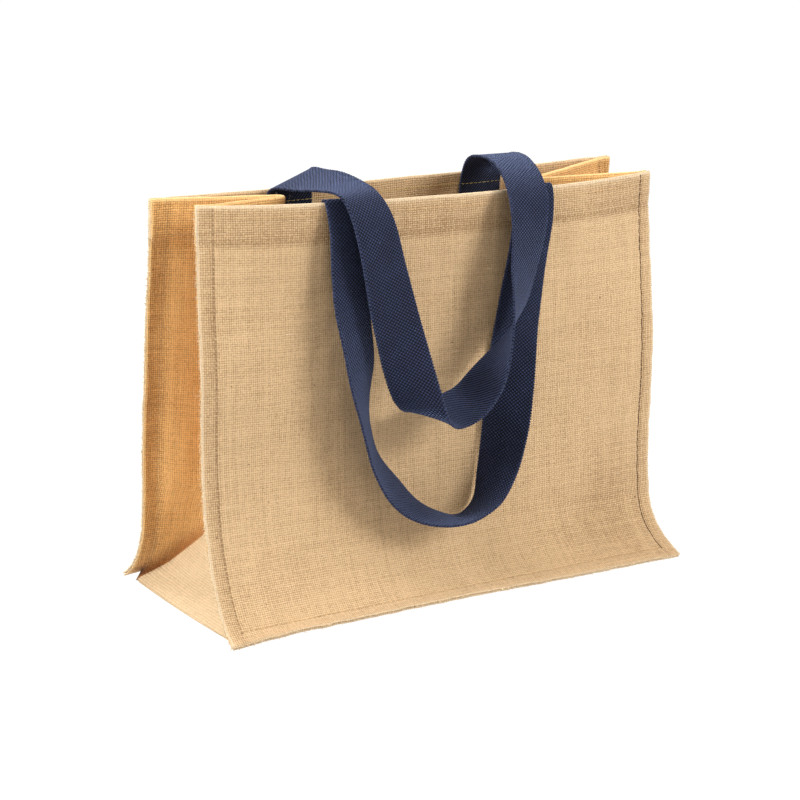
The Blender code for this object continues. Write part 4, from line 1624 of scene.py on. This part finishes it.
def waves(r, place, step):
    """Even waves, one for each step of the place."""
    return r.math("SINE", r.times(place, 2 * math.pi / step))


def slanted_ribs(r, u, v, uv):
    """Height of the twill face: ribs at a slant, a little unsteady, over fine rows."""
    slope = r.math("ADD", u, r.times(v, 0.9))
    slope = r.math("MULTIPLY_ADD", r.noise(uv, 160), 1.1 * MM, slope)
    rows = r.times(waves(r, v, ROW_STEP), 0.25)
    return r.math("ADD", r.times(waves(r, slope, RIB_STEP), 0.75), rows)


def pebbles(r, u, v):
    """Height of the other face, where the ribs break up into pebbles."""
    both = r.times(waves(r, u, PEBBLE_STEPS[0]), waves(r, v, PEBBLE_STEPS[1]))
    return r.math("ADD", r.times(both, 1.1), r.times(waves(r, v, ROW_STEP), 0.15))


def webbing_finish(name, slanted):
    """One face of the tape, with its wear, its lint, its rib tops and edges painted lighter, and painted
    shade on its sewn ends.
    """
    r = Recipe(name, 0.78)
    u, v, uv = r.flat()
    height = slanted_ribs(r, u, v, uv) if slanted else pebbles(r, u, v)
    height = r.math("MULTIPLY_ADD", r.noise(uv, 1500, 3.0), 0.5, height)
    worn = r.math("MULTIPLY_ADD", r.noise(uv, 55, 3.0), 0.4, -0.10)
    # rib tops and pebbles painted lighter and the furrows in painted shade, over random wear
    light = r.math("ADD", r.times(height, 0.60), worn)
    # painted highlight along the selvages, where their thickness catches the light
    light = r.math("MULTIPLY_ADD", r.mark("selvage"), 0.22, light)
    lint = r.between(r.noise(uv, 900, 0.0), 0.80, 0.86)
    colour = r.tint(r.between(light, 0.0, 1.0), NAVY_DEEP, NAVY_PALE)
    colour = r.tint(r.times(lint, 0.30), colour, LINT)
    # painted shade on the sewn ends, deep inside the bag
    colour = r.tint(r.times(r.mark("sewn_flat"), 0.7), colour, SEWN_END_SHADE)
    r.shader.inputs["Sheen Weight"].default_value = 0.45
    r.shader.inputs["Sheen Roughness"].default_value = 0.35
    r.shader.inputs["Sheen Tint"].default_value = SHEEN
    r.shader.inputs["Specular IOR Level"].default_value = 0.2
    return r.finish(colour, height, 0.45 * MM, 0.9)


twill = webbing_finish("navy twill", True)
pebbled = webbing_finish("navy pebbled face", False)
print("webbing's nodes:", len(twill.node_tree.nodes), "and", len(pebbled.node_tree.nodes))

# %% [markdown]
# ## Each piece to its place in the model
#
# Each piece takes its finishes, rides on a body and stands in for a CAD solid,
# which is hidden. The size each cloth was cut to is printed. The cut sizes
# follow from the same numbers that shaped the pieces.

# %% Materials, bodies and cut sizes
PANEL_CUT = (PANEL_WIDTH, PANEL_HEIGHT + HEM)
STRIP_CUT = (2 * (HALF_GUSSET + FIN), STRIP_LENGTH)
FRONT_CUT = (WEBBING_WIDTH, FRONT_LENGTH)
BACK_CUT = (WEBBING_WIDTH, BACK_LENGTH)
CLOTH_PIECES = (
    # piece, CAD node, its finishes, cut width and length, held, rests on
    (front_panel, "front_panel", (burlap,), PANEL_CUT, "hung", ["side_and_base_strip"]),
    (back_panel, "back_panel", (burlap,), PANEL_CUT, "hung", ["side_and_base_strip"]),
    (strip, "side_and_base_strip", (burlap,), STRIP_CUT, "folded", ["front_panel", "back_panel"]),
    (front_handle, "front_handle", (twill, pebbled), FRONT_CUT, "draped", ["front_panel"]),
    (back_handle, "back_handle", (twill, pebbled), BACK_CUT, "draped", ["front_panel", "back_panel"]),
)
for piece, node, finishes, cut, held, under in CLOTH_PIECES:
    faces = np.empty(len(piece.data.polygons), int)
    piece.data.polygons.foreach_get("material_index", faces)
    piece.data.materials.clear()
    for finish in finishes:
        piece.data.materials.append(finish)
    piece.data.polygons.foreach_set("material_index", faces)
    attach(piece, "root")
    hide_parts(node)
    print(piece.name, "cut mm:", [round(side / MM) for side in cut])

# %% [markdown]
# Stitches, selvages, yarn ends and fibres have no solid of their own. Each
# is listed with the cloth it is on and rides on the same body.

# %% Small pieces
SMALL_PIECES = stitch_pieces + selvages + [(piece, "front_panel") for piece in fray]
for piece in fibre_pieces:
    SMALL_PIECES.append((piece, "side_and_base_strip" if "strip" in piece.name else "front_panel"))
for piece, slot in SMALL_PIECES:
    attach(piece, "root")
print("small pieces:", len(SMALL_PIECES))

# %% [markdown]
# ## Floor, light and air
#
# A product photograph: a plain pale floor, a white surround that fills every
# shadow, and a large soft key from the right, which puts the handles' shadows
# on the cloth to their left. A light from the left catches the gusset's
# triangle, one from behind the far rim, and one overhead the folded edges. A
# picture of a studio could light the bag too, but lamps are easier to move.


# %% Lights
AIM = Vector((0, 0, 0.15))              # the middle of the bag
LIGHTS = (
    # name, place m, width m, power W
    ("key", (1.35, -1.75, 1.15), 1.0, 38),
    ("left", (-1.7, 0.0, 1.3), 0.7, 33),
    ("from behind", (-0.4, 1.3, 1.4), 0.8, 20),
    ("overhead", (0.1, -0.1, 2.2), 1.2, 18),
)


def soft_light(name, place, size, power):
    """A round area light that looks at the bag."""
    data = bpy.data.lights.new(name, "AREA")
    data.shape = "DISK"
    data.size = size
    data.energy = power
    light = bpy.data.objects.new(name, data)
    bpy.context.scene.collection.objects.link(light)
    light.location = place
    light.rotation_euler = (AIM - Vector(place)).to_track_quat("-Z", "Y").to_euler()


for row in LIGHTS:
    soft_light(*row)
print("lights:", [row[0] for row in LIGHTS])

# %% White surround
AIR_LIGHT = 0.52                        # how much the white surround lights the bag
AIR_SEEN = 1.05                         # how bright it looks to the camera
AIR_COLOUR = (1.0, 0.90, 0.80)          # a little warmth in the shadows


def white_surround(tree):
    """The surround is seen as pure white, but lights the bag more gently."""
    seen = tree.nodes.new("ShaderNodeLightPath").outputs["Is Camera Ray"]
    strength = tree.nodes.new("ShaderNodeMapRange")
    strength.inputs["To Min"].default_value = AIR_LIGHT
    strength.inputs["To Max"].default_value = AIR_SEEN
    background = tree.nodes["Background"]
    tone = tree.nodes.new("ShaderNodeMix")
    tone.data_type = "RGBA"
    tone.inputs[6].default_value = (*AIR_COLOUR, 1)
    tone.inputs[7].default_value = (1, 1, 1, 1)
    link_nodes(
        tree,
        (seen, strength.inputs["Value"]),
        (strength.outputs["Result"], background.inputs["Strength"]),
        (seen, tone.inputs["Factor"]),
        (tone.outputs[2], background.inputs["Color"]),
    )


world = bpy.data.worlds.new("studio")
bpy.context.scene.world = world
world.use_nodes = True
white_surround(world.node_tree)
bpy.context.scene.view_settings.view_transform = "Standard"


# %% [markdown]
# The photograph's ground is so bright that hardly a shadow shows on it. The
# floor glows by itself for that, which a paler colour alone would not do.


# %% Floor
FLOOR_RADIUS = 1.5
FLOOR_COLOUR = (0.12, 0.12, 0.12, 1)
FLOOR_GLOW = 0.97


def pale_floor():
    """A round flat floor at the height that the bag stands on."""
    mesh = bpy.data.meshes.new("floor")
    turns = np.linspace(0, 2 * math.pi, 97)[:-1]
    rim = np.stack([FLOOR_RADIUS * np.cos(turns), FLOOR_RADIUS * np.sin(turns), turns * 0], axis=-1)
    mesh.from_pydata(rim.tolist(), [], [tuple(range(len(rim)))])
    obj = bpy.data.objects.new("floor", mesh)
    bpy.context.scene.collection.objects.link(obj)
    material = bpy.data.materials.new("pale floor")
    material.use_nodes = True
    shader = material.node_tree.nodes["Principled BSDF"]
    shader.inputs["Base Color"].default_value = FLOOR_COLOUR
    shader.inputs["Roughness"].default_value = 0.9
    shader.inputs["Specular IOR Level"].default_value = 0.0
    shader.inputs["Emission Color"].default_value = (1, 1, 1, 1)
    shader.inputs["Emission Strength"].default_value = FLOOR_GLOW
    mesh.materials.append(material)
    return obj


pale_floor()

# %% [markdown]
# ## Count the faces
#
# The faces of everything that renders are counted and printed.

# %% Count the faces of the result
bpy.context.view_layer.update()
total = sum(len(o.data.polygons) for o in bpy.data.objects if o.type == "MESH" and not o.hide_render)
print("faces in the scene:", total)
